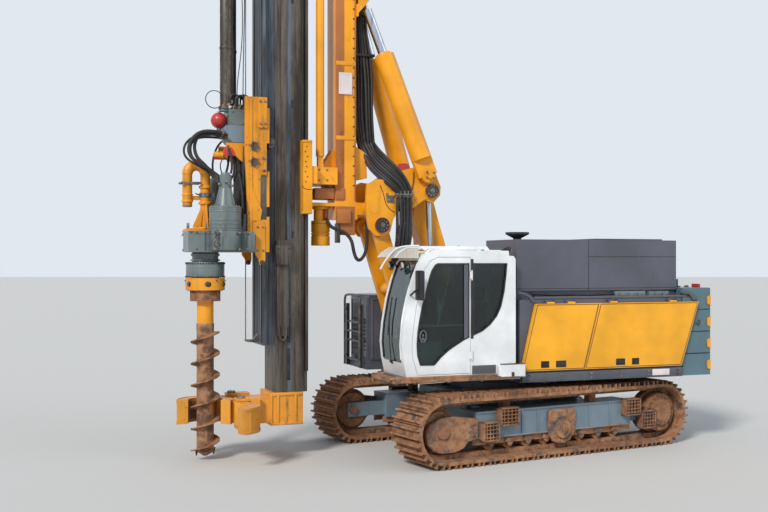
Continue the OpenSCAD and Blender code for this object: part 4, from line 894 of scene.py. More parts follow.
def knuckle_trim():
    """Bolted pin covers, doublers, welds, cables and the red hose guard of the knuckle."""
    covers, steel = [], []
    for x, z, y, radius in ((2.0998, 3.3601, 0.456, 0.114), (1.3098, 3.8801, 0.456, 0.108)):
        disc, bolted = pin_cap(x, z, y, radius)
        covers.append(disc)
        steel.append(bolted)
    fit(both_sides("pin_covers", joined("pin_covers", covers)), "knuckle", dark_steel, "mast_steel")
    fit(both_sides("pin_cover_bolts", joined("pin_cover_bolts", steel)), "knuckle", bolt_steel, "mast_steel")
    plates = [cut_plate("knuckle_doubler", [(1.22, 3.78), (1.40, 3.76), (1.62, 3.62), (1.60, 3.70),
        (1.44, 3.86), (1.24, 3.98)], "Y", 0.410, 0.420)]
    fit(both_sides("knuckle_doublers", joined("knuckle_doublers", plates)), "knuckle", yellow,
        "yellow_paint")
    weld = seam("cheek_seam", [(2.118, 0.4105, 3.952), (2.095, 0.4105, 3.90), (2.072, 0.4105, 3.84),
                               (2.052, 0.4105, 3.77), (2.038, 0.4105, 3.71), (2.014, 0.4105, 3.66),
                               (1.984, 0.4105, 3.617), (1.940, 0.4105, 3.58), (1.888, 0.4105, 3.556)], 0.006,
                               False)
    cable = bent_pipe("knuckle_cable", [(1.591, 0.418, 4.163), (1.578, 0.424, 4.060), (1.602, 0.424, 3.930),
        (1.640, 0.424, 3.838)], 0.007, sides=8)
    fit(both_sides("knuckle_lines", joined("knuckle_lines", [weld, cable])), "knuckle", black_moulding,
        "black_plastic")
    guard = cut_plate("hose_guard", [(1.850, 4.150), (1.850, 4.235), (1.812, 4.280), (1.712, 4.290),
        (1.645, 4.245), (1.640, 4.150)], "Y", 0.352, 0.408, 0.012)
    fit(guard, "knuckle", red_paint, "drive_paint")


support_trim()
crowd_motor_trim()
claw_trim()
incline_trim()
lift_trim()
knuckle_trim()

# Deck, doors and hood

DOOR_EDGES = {"front": ((0.350, 0.120), (-0.680, -0.930)), "rear": ((-0.680, -0.930), (-2.360, -2.670))}
DOOR_LATCHES = {"front": ((0.043, -0.087), (-0.201, -0.366)), "rear": ((-1.206, -1.360), (-1.481, -1.603))}
DOOR_LOW, DOOR_TOP = 1.250, 2.215
SLAB_JOINTS = (2.094, 1.758, 1.422)


def door_trim():
    """Seals and latches of the four side doors."""
    for end, (front, rear) in DOOR_EDGES.items():
        for hand, side in (("left", 1), ("right", -1)):
            body = f"side_door_{hand}_{end}"
            y = side * 1.499
            corners = [(front[0] - 0.018, y, DOOR_LOW + 0.016), (front[1] - 0.022, y, DOOR_TOP - 0.016),
                       (rear[1] + 0.022, y, DOOR_TOP - 0.016), (rear[0] + 0.018, y, DOOR_LOW + 0.016)]
            fit(seam(body + "_seal", corners, 0.007), body, black_moulding, "black_plastic")
            parts = []
            for high_x, low_x in DOOR_LATCHES[end]:
                low, high = sorted((side * 1.498, side * 1.508))
                cup = block("latch_cup", (low_x, low, 1.292), (high_x, high, 1.388), 0.004)
                inset_faces(cup, facing("Y", side), 0.012, -0.006)
                low, high = sorted((side * 1.502, side * 1.514))
                pull = block("latch_pull", (low_x + 0.03, low, 1.318), (high_x - 0.03, high, 1.344), 0.004)
                parts += [cup, pull]
            fit(joined(body + "_latches", parts), body, black_moulding, "black_plastic")


def deck_trim():
    """The bolted strip along the deck with its blank plate, the door rails, service boxes and pipes."""
    strips, steel, brackets = [], [], []
    for side in (-1, 1):
        low, high = sorted((side * 1.470, side * 1.484))
        strips.append(block("deck_strip", (-2.39, low, 1.088), (0.34, high, 1.222), 0.004))
        places = [(x, side * 1.484, z) for x in (-2.30, -1.78, -1.30, -0.80, -0.30, 0.22)
            for z in (1.125, 1.185)]
        steel.append(bolts("strip_bolts", places, (0, side, 0), 0.013, 0.012))
        low, high = sorted((side * 1.425, side * 1.470))
        for shape_points in ([(0.385, 2.40), (0.275, 2.375), (0.179, 2.331), (0.125, 2.27), (0.125, 2.235),
                                 (0.165, 2.235), (0.21, 2.30), (0.29, 2.345), (0.385, 2.366)],
                             [(-2.36, 2.395), (-2.36, 2.355), (-2.52, 2.325), (-2.60, 2.235), (-2.65, 2.235),
                                 (-2.655, 2.30), (-2.54, 2.37)]):
            brackets.append(cut_plate("end_bracket", shape_points, "Y", low, high))
        low, high = sorted((side * 1.408, side * 1.438))
        brackets.append(block("door_rail", (-2.60, low, 2.282), (0.12, high, 2.318), 0.004))
        for x in (-2.2, -1.7, -1.2, -0.7, -0.2):
            low, high = sorted((side * 1.270, side * 1.436))
            brackets.append(block("rail_stay", (x - 0.02, low, 2.278), (x + 0.02, high, 2.300), 0.003))
    fit(joined("deck_strips", strips), "house", deck_grey, "hood_paint")
    fit(joined("deck_strip_bolts", steel), "house", bolt_steel, "mast_steel")
    fit(joined("door_rails", brackets), "house", hood_grey, "hood_paint")
    blank = block("blank", (-2.149, 1.484, 1.116), (-1.848, 1.489, 1.208), 0.002)
    fit(blank, "house", blank_plate, "cab_paint")
    boxes = [block("service_box", (-1.83, 1.262, 2.282), (-1.30, 1.330, 2.382), 0.008),
        block("service_box", (-2.25, 1.262, 2.282), (-1.90, 1.330, 2.375), 0.008)]
    for x in (-1.72, -1.56, -1.40, -2.16, -2.02):
        boxes.append(crosswise("filter_bowl", (x, 2.335), 1.330, 1.362, 0.036, sides=20))
    fit(joined("service_boxes", boxes), "house", drive_grey, "drive_paint")
    pipes = [bent_pipe("service_pipe", [(0.10, 1.30, 2.36), (-0.20, 1.34, 2.33), (-0.55, 1.30, 2.35),
                 (-0.90, 1.34, 2.32), (-1.28, 1.31, 2.35)], 0.018),
             bent_pipe("service_pipe", [(0.05, 1.31, 2.31), (-0.35, 1.35, 2.31), (-0.80, 1.31, 2.31),
                 (-1.28, 1.33, 2.31)], 0.014)]
    fit(joined("service_pipes", pipes), "house", black_rubber, "black_rubber")


def hood_trim():
    """Panel joints, grilles, handles and lids of the upper hood."""
    seams, lids, grilles, handles = [], [], [], []
    for side, top in ((1, 3.15), (-1, 2.86)):
        y = side * 1.3005
        seams.append(seam("hood_joint", [(-0.86, y, 2.402), (-0.86, y, top - 0.002)], 0.004, False))
        shelf = 2.90 if side > 0 else 2.70
        seams.append(seam("hood_joint", [(-0.86, y, shelf), (-2.398, y, shelf)], 0.004, False))
        seams.append(seam("hood_joint", [(0.328, y, 2.430), (-2.398, y, 2.430)], 0.004, False))
    far, low_top = -1.3005, 2.86
    for x in (-0.16, -1.62):
        grip = [(x + along, far + out, 2.52) for along, out in ((-0.07, 0.004), (-0.07, -0.028),
            (0.07, -0.028), (0.07, 0.004))]
        handles.append(bent_pipe("hood_grip", grip, 0.007, order=2))
    for x in (-0.02, -0.56, -1.10, -1.66, -2.20):
        handles.append(block("hood_hinge", (x - 0.05, far - 0.010, low_top - 0.115),
            (x + 0.05, far, low_top - 0.035), 0.003))
    for x0, x1, y0, y1, top in ((-2.25, -1.05, 0.42, 1.16, 3.15), (-2.25, -1.30, -1.16, -0.10, 2.86),
        (-1.10, -0.10, -1.16, -0.10, 2.86)):
        lid = block("hood_lid", (x0, y0, top), (x1, y1, top + 0.022), 0.006)
        lids.append(inset_faces(lid, facing("Z"), 0.035, -0.010))
        count = int((x1 - x0 - 0.16) / 0.05)
        for i in range(count):
            x = x0 + 0.09 + 0.05 * i
            grilles.append(block("grille_slat", (x, y0 + 0.05, top + 0.010),
                (x + 0.026, y1 - 0.05, top + 0.020), 0))
    for z in [2.50 + 0.045 * i for i in range(11)]:
        for low_y, high_y in ((-1.05, -0.20), (0.34, 1.15)):
            grilles.append(block("rear_slat", (-2.412, low_y, z), (-2.398, high_y, z + 0.022), 0))
    for z in [2.52 + 0.040 * i for i in range(7)]:
        grilles.append(block("side_slat", (-2.26, -1.312, z), (-1.46, -1.298, z + 0.020), 0))
    fit(joined("hood_joints", seams), "house", black_moulding, "black_plastic")
    fit(joined("hood_lids", lids), "house", hood_grey, "hood_paint")
    fit(joined("hood_slats", grilles), "house", black_moulding, "black_plastic")
    fit(joined("hood_hardware", handles), "house", black_moulding, "black_plastic")
    tread = block("top_tread", (-0.92, 0.36, 3.150), (-0.10, 0.78, 3.156), 0.002)
    ribs = [block("tread_rib", (-0.90 + 0.06 * i, 0.37, 3.156), (-0.885 + 0.06 * i, 0.77, 3.161), 0)
        for i in range(14)]
    fit(joined("hood_tread", [tread] + ribs), "house", dark_steel, "mast_steel")


def counterweight_trim():
    """Lugs, hooks, joints, bolts and rear lights of the four counterweight slabs."""
    hooks, lugs, joints = [], [], []
    for side in (-1, 1):
        y = side * 1.430
        for z in (2.23, 1.90, 1.57, 1.24):
            low, high = sorted((y - side * 0.002, y + side * 0.020))
            lug = cut_plate("slab_lug", [(-2.868, z + 0.055), (-2.929, z + 0.080), (-2.929, z - 0.080),
                (-2.868, z - 0.055)], "Y", low, high)
            lugs.append(lug)
        for x, z in ((-2.72, 1.93), (-2.66, 2.26)):
            hooks.append(
                bent_pipe("slab_hook", [(x, y - side * 0.01, z), (x, y + side * 0.022, z),
                    (x, y + side * 0.024, z - 0.05), (x + 0.03, y + side * 0.024, z - 0.08),
                    (x + 0.055, y + side * 0.022, z - 0.045)], 0.009))
        for z in SLAB_JOINTS:
            joints.append(seam("slab_joint", [(-2.43, y + side * 0.001, z), (-2.928, y + side * 0.001, z)],
                0.007, False))
    for z in SLAB_JOINTS:
        joints.append(seam("slab_joint", [(-2.9255, -1.42, z), (-2.9255, 1.42, z)], 0.0045, False))
    fit(joined("slab_lugs", lugs), "house", yellow, "yellow_paint")
    fit(joined("slab_hooks", hooks), "house", black_moulding, "black_plastic")
    fit(joined("slab_joints", joints), "house", black_moulding, "black_plastic")
    rods = []
    for y in (-0.95, 0.95):
        rods.append(bolts("weight_bolts", ring_of((-2.66, y, 2.424), "Z", 0.05, 4), UP, 0.016, 0.018))
        rods.append(bolts("weight_bolts", [(-2.50, y, 2.424), (-2.84, y, 2.424)], UP, 0.032, 0.026))
    fit(joined("weight_bolts", rods), "house", bolt_steel, "mast_steel")
    lights = []
    for y in (-1.10, 1.10):
        light = block("rear_light", (-2.928, y - 0.09, 2.423), (-2.890, y + 0.09, 2.480), 0.006)
        lights.append(inset_faces(light, facing("X", -1), 0.010, -0.005))
    fit(joined("rear_lights", lights), "house", red_paint, "black_plastic")


door_trim()
deck_trim()
hood_trim()
counterweight_trim()


# Cab

def strip(name, outline, y0, y1, width):
    """A flat band of the given width that follows an outline in the side view, such as a window seal."""
    outer = [Vector((x, z)) for x, z in outline]
    count = len(outer)
    centre = sum(outer, Vector((0, 0))) / count
    verts, faces = [], []
    for i in range(count):
        before, here, after = outer[i - 1], outer[i], outer[(i + 1) % count]
        a, b = (here - before).normalized(), (after - here).normalized()
        normal = Vector((-(a.y + b.y), a.x + b.x)).normalized()
        if normal.dot(centre - here) < 0:
            normal = -normal
        across = Vector((-a.y, a.x))
        if across.dot(centre - here) <= 0:
            across = -across
        reach = width / max(0.4, normal.dot(across))
        inner = here + normal * reach
        for x, z in ((here.x, here.y), (inner.x, inner.y)):
            for y in (y0, y1):
                verts.append(at(x, y, z))
    for i in range(count):
        a, b = 4 * i, 4 * ((i + 1) % count)
        faces += [(a, b, b + 1, a + 1), (a + 2, a + 3, b + 3, b + 2), (a, a + 2, b + 2, b),
            (a + 1, b + 1, b + 3, a + 3)]
    mesh = bpy.data.meshes.new(name)
    mesh.from_pydata(verts, [], faces)
    piece = bpy.data.objects.new(name, mesh)
    bpy.context.collection.objects.link(piece)
    return tidy_mesh(piece)


DOOR_PANE = [(1.172, 2.804), (1.172, 1.757), (1.247, 1.725), (1.390, 1.642), (1.486, 1.583), (1.599, 1.491),
             (1.703, 1.381), (1.920, 1.385), (1.962, 1.519), (1.972, 1.675), (1.960, 1.847), (1.932, 2.019),
             (1.893, 2.208), (1.848, 2.363), (1.787, 2.600), (1.750, 2.700), (1.700, 2.778), (1.656, 2.804)]
QUARTER_PANE = [(1.112, 2.804), (0.579, 2.804), (0.594, 2.635), (0.624, 2.404), (0.673, 2.191),
                (0.742, 2.050), (0.850, 1.928), (0.967, 1.842), (1.112, 1.782)]


def cab_windows():
    """Rubber seals round the panes, the dark post between them, and the bars behind the door glass."""
    fit(strip("door_pane_seal", DOOR_PANE, 1.484, 1.496, 0.020), "cab_door", black_rubber, "black_rubber")
    fit(strip("quarter_pane_seal", QUARTER_PANE, 1.484, 1.496, 0.018), "house", black_rubber, "black_rubber")
    band = cut_plate("door_post", [(1.172, 1.760), (1.252, 1.726), (1.252, 2.800), (1.172, 2.800)], "Y",
        1.487, 1.4925, 0.001)
    fit(band, "cab_door", post_grey, "hood_paint")
    fit(block("cab_post_trim", (1.108, 1.488, 1.74), (1.149, 1.4945, 2.862), 0.002), "house", black_moulding,
        "black_plastic")
    bars = [round_bar("pull_bar", (1.199, 1.436, 1.930), (1.945, 1.436, 1.930), 0.016, sides=16),
            block("pull_bar_end", (1.175, 1.424, 1.90), (1.205, 1.448, 1.96), 0.003),
            block("pull_bar_end", (1.935, 1.424, 1.90), (1.958, 1.448, 1.96), 0.003)]
    fit(joined("door_pull_bar", bars), "cab_door", bar_grey, "hood_paint")
    strut = [round_bar("strut_tube", (1.627, 1.425, 1.95), (1.505, 1.425, 2.43), 0.014, sides=16),
             round_bar("strut_rod", (1.505, 1.425, 2.43), (1.424, 1.425, 2.745), 0.009, sides=12),
             block("strut_end", (1.410, 1.415, 2.735), (1.436, 1.447, 2.785), 0.003)]
    fit(joined("door_gas_strut", strut), "cab_door", bar_grey, "mast_steel")
    oval = [(1.875 + 0.046 * math.cos(a), 1.494, 1.790 + 0.080 * math.sin(a)) for a in turns(28)]
    grip = [seam("grip_ring", oval, 0.010), crosswise("grip_button", (1.875, 1.800), 1.487, 1.502, 0.018,
                sides=20),
            block("grip_pull", (1.853, 1.487, 1.735), (1.897, 1.499, 1.768), 0.004)]
    fit(joined("door_grip", grip), "cab_door", post_grey, "hood_paint")
    screen = [seam("screen_seal", [(1.862, 0.672, 2.835), (1.862, 1.408, 2.835)], 0.012, False)]
    frame_bar = [(2.163, 1.400, 1.470), (2.176, 1.400, 1.675), (2.150, 1.400, 2.005), (2.121, 1.400, 2.164),
                 (2.088, 1.400, 2.309), (2.048, 1.400, 2.455), (2.006, 1.400, 2.574), (1.958, 1.400, 2.693),
                 (1.900, 1.400, 2.822), (1.835, 1.400, 2.905), (1.745, 1.400, 2.985), (1.640, 1.400, 3.010)]
    bar_places = [(x + 0.004, 1.408, z) for x, y, z in frame_bar]
    fit(seam("screen_frame_bar", bar_places, 0.015, False), "house", cab_white, "cab_paint")
    screen.append(seam("pillar_gap", [(x - 0.032, 1.466, z) for x, y, z in frame_bar[:10]], 0.019, False))
    for y in (0.676, 1.404):
        screen.append(
            seam("screen_seal", [(2.160, y, 1.45), (2.182, y, 1.68), (2.158, y, 1.95), (2.098, y, 2.29),
                (2.022, y, 2.57), (1.937, y, 2.79), (1.905, y, 2.83)], 0.010, False))
    fit(joined("windscreen_seals", screen), "house", black_rubber, "black_rubber")
    wiper = [bent_pipe("wiper_arm", [(2.176, 1.04, 1.44), (2.205, 1.03, 1.62), (2.190, 0.98, 1.90),
                 (2.152, 0.93, 2.10)], 0.007),
             round_bar("wiper_pivot", (2.150, 1.04, 1.40), (2.196, 1.04, 1.43), 0.022, sides=16),
             bent_pipe("wiper_blade", [(2.198, 0.96, 1.78), (2.172, 0.93, 2.05), (2.118, 0.92, 2.32)], 0.010,
                 order=3)]
    fit(joined("wiper", wiper), "house", black_moulding, "black_plastic")


def cab_panels():
    """The vent, the side box, the roof's pressings, the visor's side panel and bar, and the work lamps."""
    vent = block("cab_vent", (0.760, 1.489, 1.240), (1.130, 1.497, 1.362), 0.004)
    inset_faces(vent, facing("Y"), 0.014, -0.006)
    slats = [block("vent_slat", (0.782, 1.489, 1.258 + 0.020 * i), (1.108, 1.4965, 1.266 + 0.020 * i), 0)
        for i in range(5)]
    fit(joined("cab_vent", [vent] + slats), "house", post_grey, "hood_paint")
    box = block("white_box", (0.330, 1.500, 1.182), (0.750, 1.585, 1.372), 0.012)
    inset_faces(box, facing("Y"), 0.020, 0.006)
    box_parts = [box, block("box_foot", (0.40, 1.47, 1.19), (0.70, 1.51, 1.24), 0.004)]
    fit(joined("side_box", box_parts), "house", cab_white, "cab_paint")
    hinge = [round_bar("box_hinge", (0.34, 1.587, 1.376), (0.74, 1.587, 1.376), 0.008, sides=12),
             block("box_latch", (0.52, 1.590, 1.20), (0.56, 1.602, 1.26), 0.003)]
    fit(joined("side_box_hinge", hinge), "house", bolt_steel, "mast_steel")
    hatch = block("roof_hatch", (0.98, 0.76, 2.978), (1.56, 1.32, 3.004), 0.010)
    inset_faces(hatch, facing("Z"), 0.050, 0.006)
    ridge = [block("roof_ridge", (0.62, y - 0.02, 2.978), (0.93, y + 0.02, 2.992), 0.006)
        for y in (0.80, 0.94, 1.08, 1.22, 1.36)]
    fit(joined("cab_roof_pressings", [hatch] + ridge), "house", cab_white, "cab_paint")
    crest = [(1.900, 3.046), (2.020, 3.044), (2.106, 3.037), (2.190, 3.022), (2.250, 2.996), (2.300, 2.950),
        (2.370, 2.873), (2.425, 2.800), (2.470, 2.720)]
    panel = [cut_plate("visor_panel", crest[:7] + [(2.350, 2.874), (1.900, 2.874)], "Y", 1.384, 1.392,
        0.002)]
    for i in range(8):
        panel.append(block("panel_rib", (1.93 + 0.05 * i, 1.390, 2.884),
            (1.936 + 0.05 * i, 1.3965, (3.028, 3.028, 3.024, 3.018, 3.010, 3.000, 2.975, 2.940)[i]), 0))
    for z in (2.905, 2.940, 2.975):
        panel.append(block("panel_rib", (1.91, 1.390, z), (2.34 - (z - 2.874) * 0.8, 1.3965, z + 0.006), 0))
    fit(joined("visor_panel", panel), "house", panel_beige, "cab_paint")
    edges = [bent_pipe("visor_bar", [(x, 1.398, z) for x, z in crest], 0.013, order=3)]
    fit(joined("visor_bar", edges), "house", cab_white, "cab_paint")
    lamps, lenses = [], []
    for x, y, z, way in ((2.06, 0.76, 2.80, 1), (2.06, 1.30, 2.80, 1), (0.515, 1.35, 3.005, -1)):
        lamps.append(round_bar("lamp_can", (x - way * 0.02, y, z), (x + way * 0.045, y, z - 0.02), 0.035,
            0.052, sides=24))
        lamps.append(
            bent_pipe("lamp_stalk", [(x - way * 0.01, y, z), (x - way * 0.05, y, z + 0.02),
                (x - way * 0.06, y, z - 0.02), (x - way * 0.07, y, z - 0.08)], 0.011))
        lens = round_bar("lamp_lens", (x + way * 0.046, y, z - 0.0205), (x + way * 0.052, y, z - 0.022),
            0.046, sides=24)
        lenses.append(lens)
    fit(joined("work_lamps", lamps), "house", black_moulding, "black_plastic")
    fit(joined("work_lamp_lenses", lenses), "house", blank_plate, "window_glass")
    fixings = [bolts("rail_bolts", [(0.86, 1.41, 3.043), (1.30, 1.41, 3.043), (1.75, 1.41, 3.043),
        (0.86, 0.67, 3.043), (1.30, 0.67, 3.043), (1.75, 0.67, 3.043)], UP, 0.009, 0.008)]
    fit(joined("roof_rail_bolts", fixings), "house", bolt_steel, "mast_steel")


def mirror_trim():
    """The shell, arm and glass of the mirror."""
    shell = block("mirror_shell", (1.945, 1.545, 2.295), (2.020, 1.735, 2.705), 0.022)
    fit(shell, "house", black_moulding, "black_plastic", "mirror")
    arm = bent_pipe("mirror_arm", [(2.058, 1.488, 2.362), (2.075, 1.54, 2.362), (2.060, 1.60, 2.40),
        (2.015, 1.63, 2.45)], 0.014)
    fit(arm, "house", black_moulding, "black_plastic")
    fit(block("mirror_face", (1.938, 1.560, 2.312), (1.946, 1.720, 2.688), 0.004), "house", chrome,
        "rod_chrome")


def seat_parts():
    """The sprung seat with its cushion, back, head rest, arm pads and levers."""
    stand = [block("seat_base", (0.86, 0.86, 1.278), (1.26, 1.22, 1.330), 0.010)]
    for z in (1.335, 1.372, 1.409, 1.446, 1.483):
        stand.append(block("seat_bellows", (0.885 + 0.006 * ((z * 1000) % 2), 0.885, z),
            (1.235, 1.195, z + 0.030), 0.013))
    stand.append(block("seat_pan", (0.82, 0.81, 1.518), (1.32, 1.27, 1.552), 0.012))
    fit(joined("seat_stand", stand), "house", black_moulding, "black_plastic")

    def pad(name, low, high, lean=0.0):
        """A cushion with a crowned face, leaning back by a share of its height."""
        made = block(name, low, high, 0)
        open_edit(made)
        bpy.ops.mesh.subdivide(number_cuts=5)
        put_down()
        middle = (at(*low) + at(*high)) / 2
        half = (at(*high) - at(*low)) / 2
        across, along, out = (0, 1, 2) if half.z < half.x else (1, 2, 0)
        for vertex in made.data.vertices:
            away = [min(1.0, abs((vertex.co[i] - middle[i]) / half[i])) for i in range(3)]
            crown = (1 - away[across] ** 4) * (1 - away[along] ** 4) * 0.02
            vertex.co[out] += crown if vertex.co[out] > middle[out] else 0
            vertex.co.x -= (vertex.co.z - at(*low).z) * lean
        shape(made, "BEVEL", width=0.03, segments=3, limit_method="ANGLE", angle_limit=math.radians(50))
        stands_for = ("operator_seat",) if name == "seat_cushion" else ()
        fit(made, "house", seat_cloth, "seat_fabric", *stands_for)

    pad("seat_cushion", (0.830, 0.815, 1.553), (1.318, 1.265, 1.664))
    pad("seat_back", (0.800, 0.825, 1.690), (0.905, 1.255, 2.240), 0.06)
    pad("head_rest", (0.775, 0.915, 2.262), (0.860, 1.165, 2.455), 0.04)
    arms = []
    for y in (0.800, 1.230):
        arms.append(block("arm_pad", (0.900, y, 1.790), (1.270, y + 0.055, 1.845), 0.018))
        arms.append(round_bar("lever", (1.245, y + 0.028, 1.845), (1.262, y + 0.028, 1.965), 0.011,
            sides=12))
        arms.append(round_bar("lever_knob", (1.262, y + 0.028, 1.955), (1.268, y + 0.028, 2.020), 0.024,
            0.018, sides=16, edge=0.006))
        arms.append(block("arm_post", (0.900, y + 0.012, 1.560), (0.945, y + 0.042, 1.800), 0.006))
    fit(joined("seat_arms", arms), "house", black_moulding, "black_plastic")
    screen = [block("control_screen", (1.930, 0.700, 1.70), (1.965, 0.930, 1.880), 0.012),
        block("screen_post", (1.93, 0.80, 1.28), (1.96, 0.83, 1.71), 0.004)]
    fit(joined("control_screen", screen), "house", black_moulding, "black_plastic")


cab_windows()
cab_panels()
mirror_trim()
seat_parts()

# Sledge, rotary drive and its fittings

SPINDLE_X = 4.622
COLLAR_R = 0.279
TUBES = ((4.350, 0.120), (4.235, -0.120))
BALL = (4.438, 0.060, 4.840)


def sledge_trim():
    """Guide blocks, buffers, lugs, bosses, ribs, bolts and front hoses of the sledge, with a black plate
    behind the hoses as painted shade.
    """
    yellow_parts, steel_parts, rubber_parts, red_parts, bolt_parts = [], [], [], [], []
    for side in (-1, 1):
        y0, y1 = sorted((side * 0.425, side * 0.462))
        rear0, rear1 = sorted((side * 0.350, side * 0.428))
        for x0, x1, z0, z1 in ((3.827, 3.957, 4.712, 5.146), (3.834, 3.914, 4.049, 4.342)):
            guide = block("guide_block", (x0, y0, z0), (x1, y1, z1), 0.010)
            yellow_parts.append(inset_faces(guide, facing("Y", side), 0.020, -0.006))
            bolt_parts.append(
                bolts("guide_bolts",
                    [(x0 + 0.03, side * 0.462, z0 + 0.06), (x1 - 0.03, side * 0.462, z0 + 0.06),
                        (x0 + 0.03, side * 0.462, z1 - 0.06), (x1 - 0.03, side * 0.462, z1 - 0.06)],
                    (0, side, 0), 0.014, 0.012))
        rubber_parts.append(block("buffer", (3.765, rear0, 4.600), (3.789, rear1, 4.960), 0.008))
        lug = cut_plate("guide_lug", [(3.792, 4.440), (3.792, 4.580), (3.740, 4.590), (3.700, 4.560),
            (3.690, 4.510), (3.706, 4.462), (3.745, 4.436)], "Y", *sorted((side * 0.345, side * 0.385)))
        steel_parts.append(lug)
        steel_parts.append(crosswise("lug_eye", (3.738, 4.512), side * 0.335, side * 0.398, 0.032, sides=20))
        for x, z in ((4.009, 4.453), (4.009, 4.228)):
            boss = crosswise("boss", (x, z), side * 0.426, side * 0.462, 0.058, sides=28)
            steel_parts.append(inset_faces(boss, facing("Y", side), 0.020, -0.010))
            bolt_parts.append(bolts("boss_bolts", ring_of((x, side * 0.446, z), "Y", 0.074, 6, 0.2),
                (0, side, 0), 0.009, 0.010))
        arm0, arm1 = sorted((side * 0.425, side * 0.450))
        yellow_parts.append(
            cut_plate("guide_arm", [(3.858, 3.34), (3.880, 3.40), (3.975, 3.40), (3.998, 3.34),
                (3.998, 2.93), (3.950, 2.86), (3.930, 2.780), (3.870, 2.780), (3.850, 2.86)], "Y", arm0,
                arm1))
        steel_parts.append(crosswise("arm_eye", (3.900, 2.812), side * 0.420, side * 0.462, 0.034, sides=20))
        bolt_parts.append(
            bolts("shoe_bolts", [(3.885, side * 0.450, 2.98), (3.965, side * 0.450, 2.98),
                (3.885, side * 0.450, 3.31), (3.965, side * 0.450, 3.31)], (0, side, 0), 0.013, 0.012))
        for z in (3.47, 3.62, 3.77):
            bolt_parts.append(bolts("plate_bolts", [(3.875, side * 0.428, z)], (0, side, 0), 0.012, 0.011))
        rib0, rib1 = sorted((side * 0.428, side * 0.448))
        yellow_parts.append(
            cut_plate("cheek_rib", [(4.040, 2.98), (4.075, 2.98), (4.075, 5.12), (4.040, 5.12)], "Y", rib0,
                rib1))
        yellow_parts.append(
            cut_plate("cheek_gusset", [(3.90, 3.55), (4.040, 3.86), (4.040, 3.40), (3.92, 3.40)], "Y", rib0,
                rib1))
        red_parts.append(
            cut_plate("red_lug", [(4.252, 4.316), (4.452, 4.316), (4.400, 4.436), (4.300, 4.436)], "Y",
                *sorted((side * 0.290, side * 0.315))))
        if side > 0:
            yellow_parts.append(round_bar("lever_end", (4.430, 0.302, 4.318), (4.560, 0.302, 4.330), 0.046,
                0.040, sides=20, edge=0.008))
    for side in (-1, 1):
        y0, y1 = sorted((side * 0.4285, side * 0.4345))
        steel_parts.append(block("wear_plate", (3.833, y0, 3.42), (3.920, y1, 4.040), 0.002))
    # A black plate over the sledge's front face stands for the deep shade there: painted shade, with the
    # hoses hung in front of it.
    hoses_and_shade_plate = [block("shade_plate", (4.0905, -0.345, 3.255), (4.100, 0.345, 4.470), 0.002)]
    for i in range(9):
        y, sway = -0.30 + 0.075 * i, 0.030 * math.sin(1.7 * i)
        hoses_and_shade_plate.append(bent_pipe("plate_hose", [(4.120, y, 4.46), (4.135, y + sway, 4.20),
                                  (4.125, y - sway, 3.90), (4.140, y + sway, 3.60), (4.130, y, 3.32),
                                  (4.150, y, 3.245)],
                              (0.024, 0.018, 0.021)[i % 3], sides=10))
    fit(joined("front_hoses_and_shade_plate", hoses_and_shade_plate), "sledge", black_rubber, "black_rubber")
    for y in (-0.30, 0.30):
        yellow_parts.append(block("front_rib", (4.088, y - 0.012, 4.02), (4.110, y + 0.012, 4.49), 0.004))
    brace = [(4.092, 0.285, 4.44), (4.092, 0.285, 4.05)]
    steel_parts.append(seam("front_weld", brace, 0.006, False))
    fit(joined("sledge_guides", yellow_parts), "sledge", work_yellow, "yellow_paint")
    fit(joined("sledge_bosses", steel_parts), "sledge", dark_steel, "drive_paint")
    fit(joined("sledge_buffers", rubber_parts), "sledge", black_rubber, "black_rubber")
    fit(joined("sledge_red_lugs", red_parts), "sledge", red_paint, "drive_paint")
    fit(joined("sledge_bolts", bolt_parts), "sledge", bolt_steel, "mast_steel")


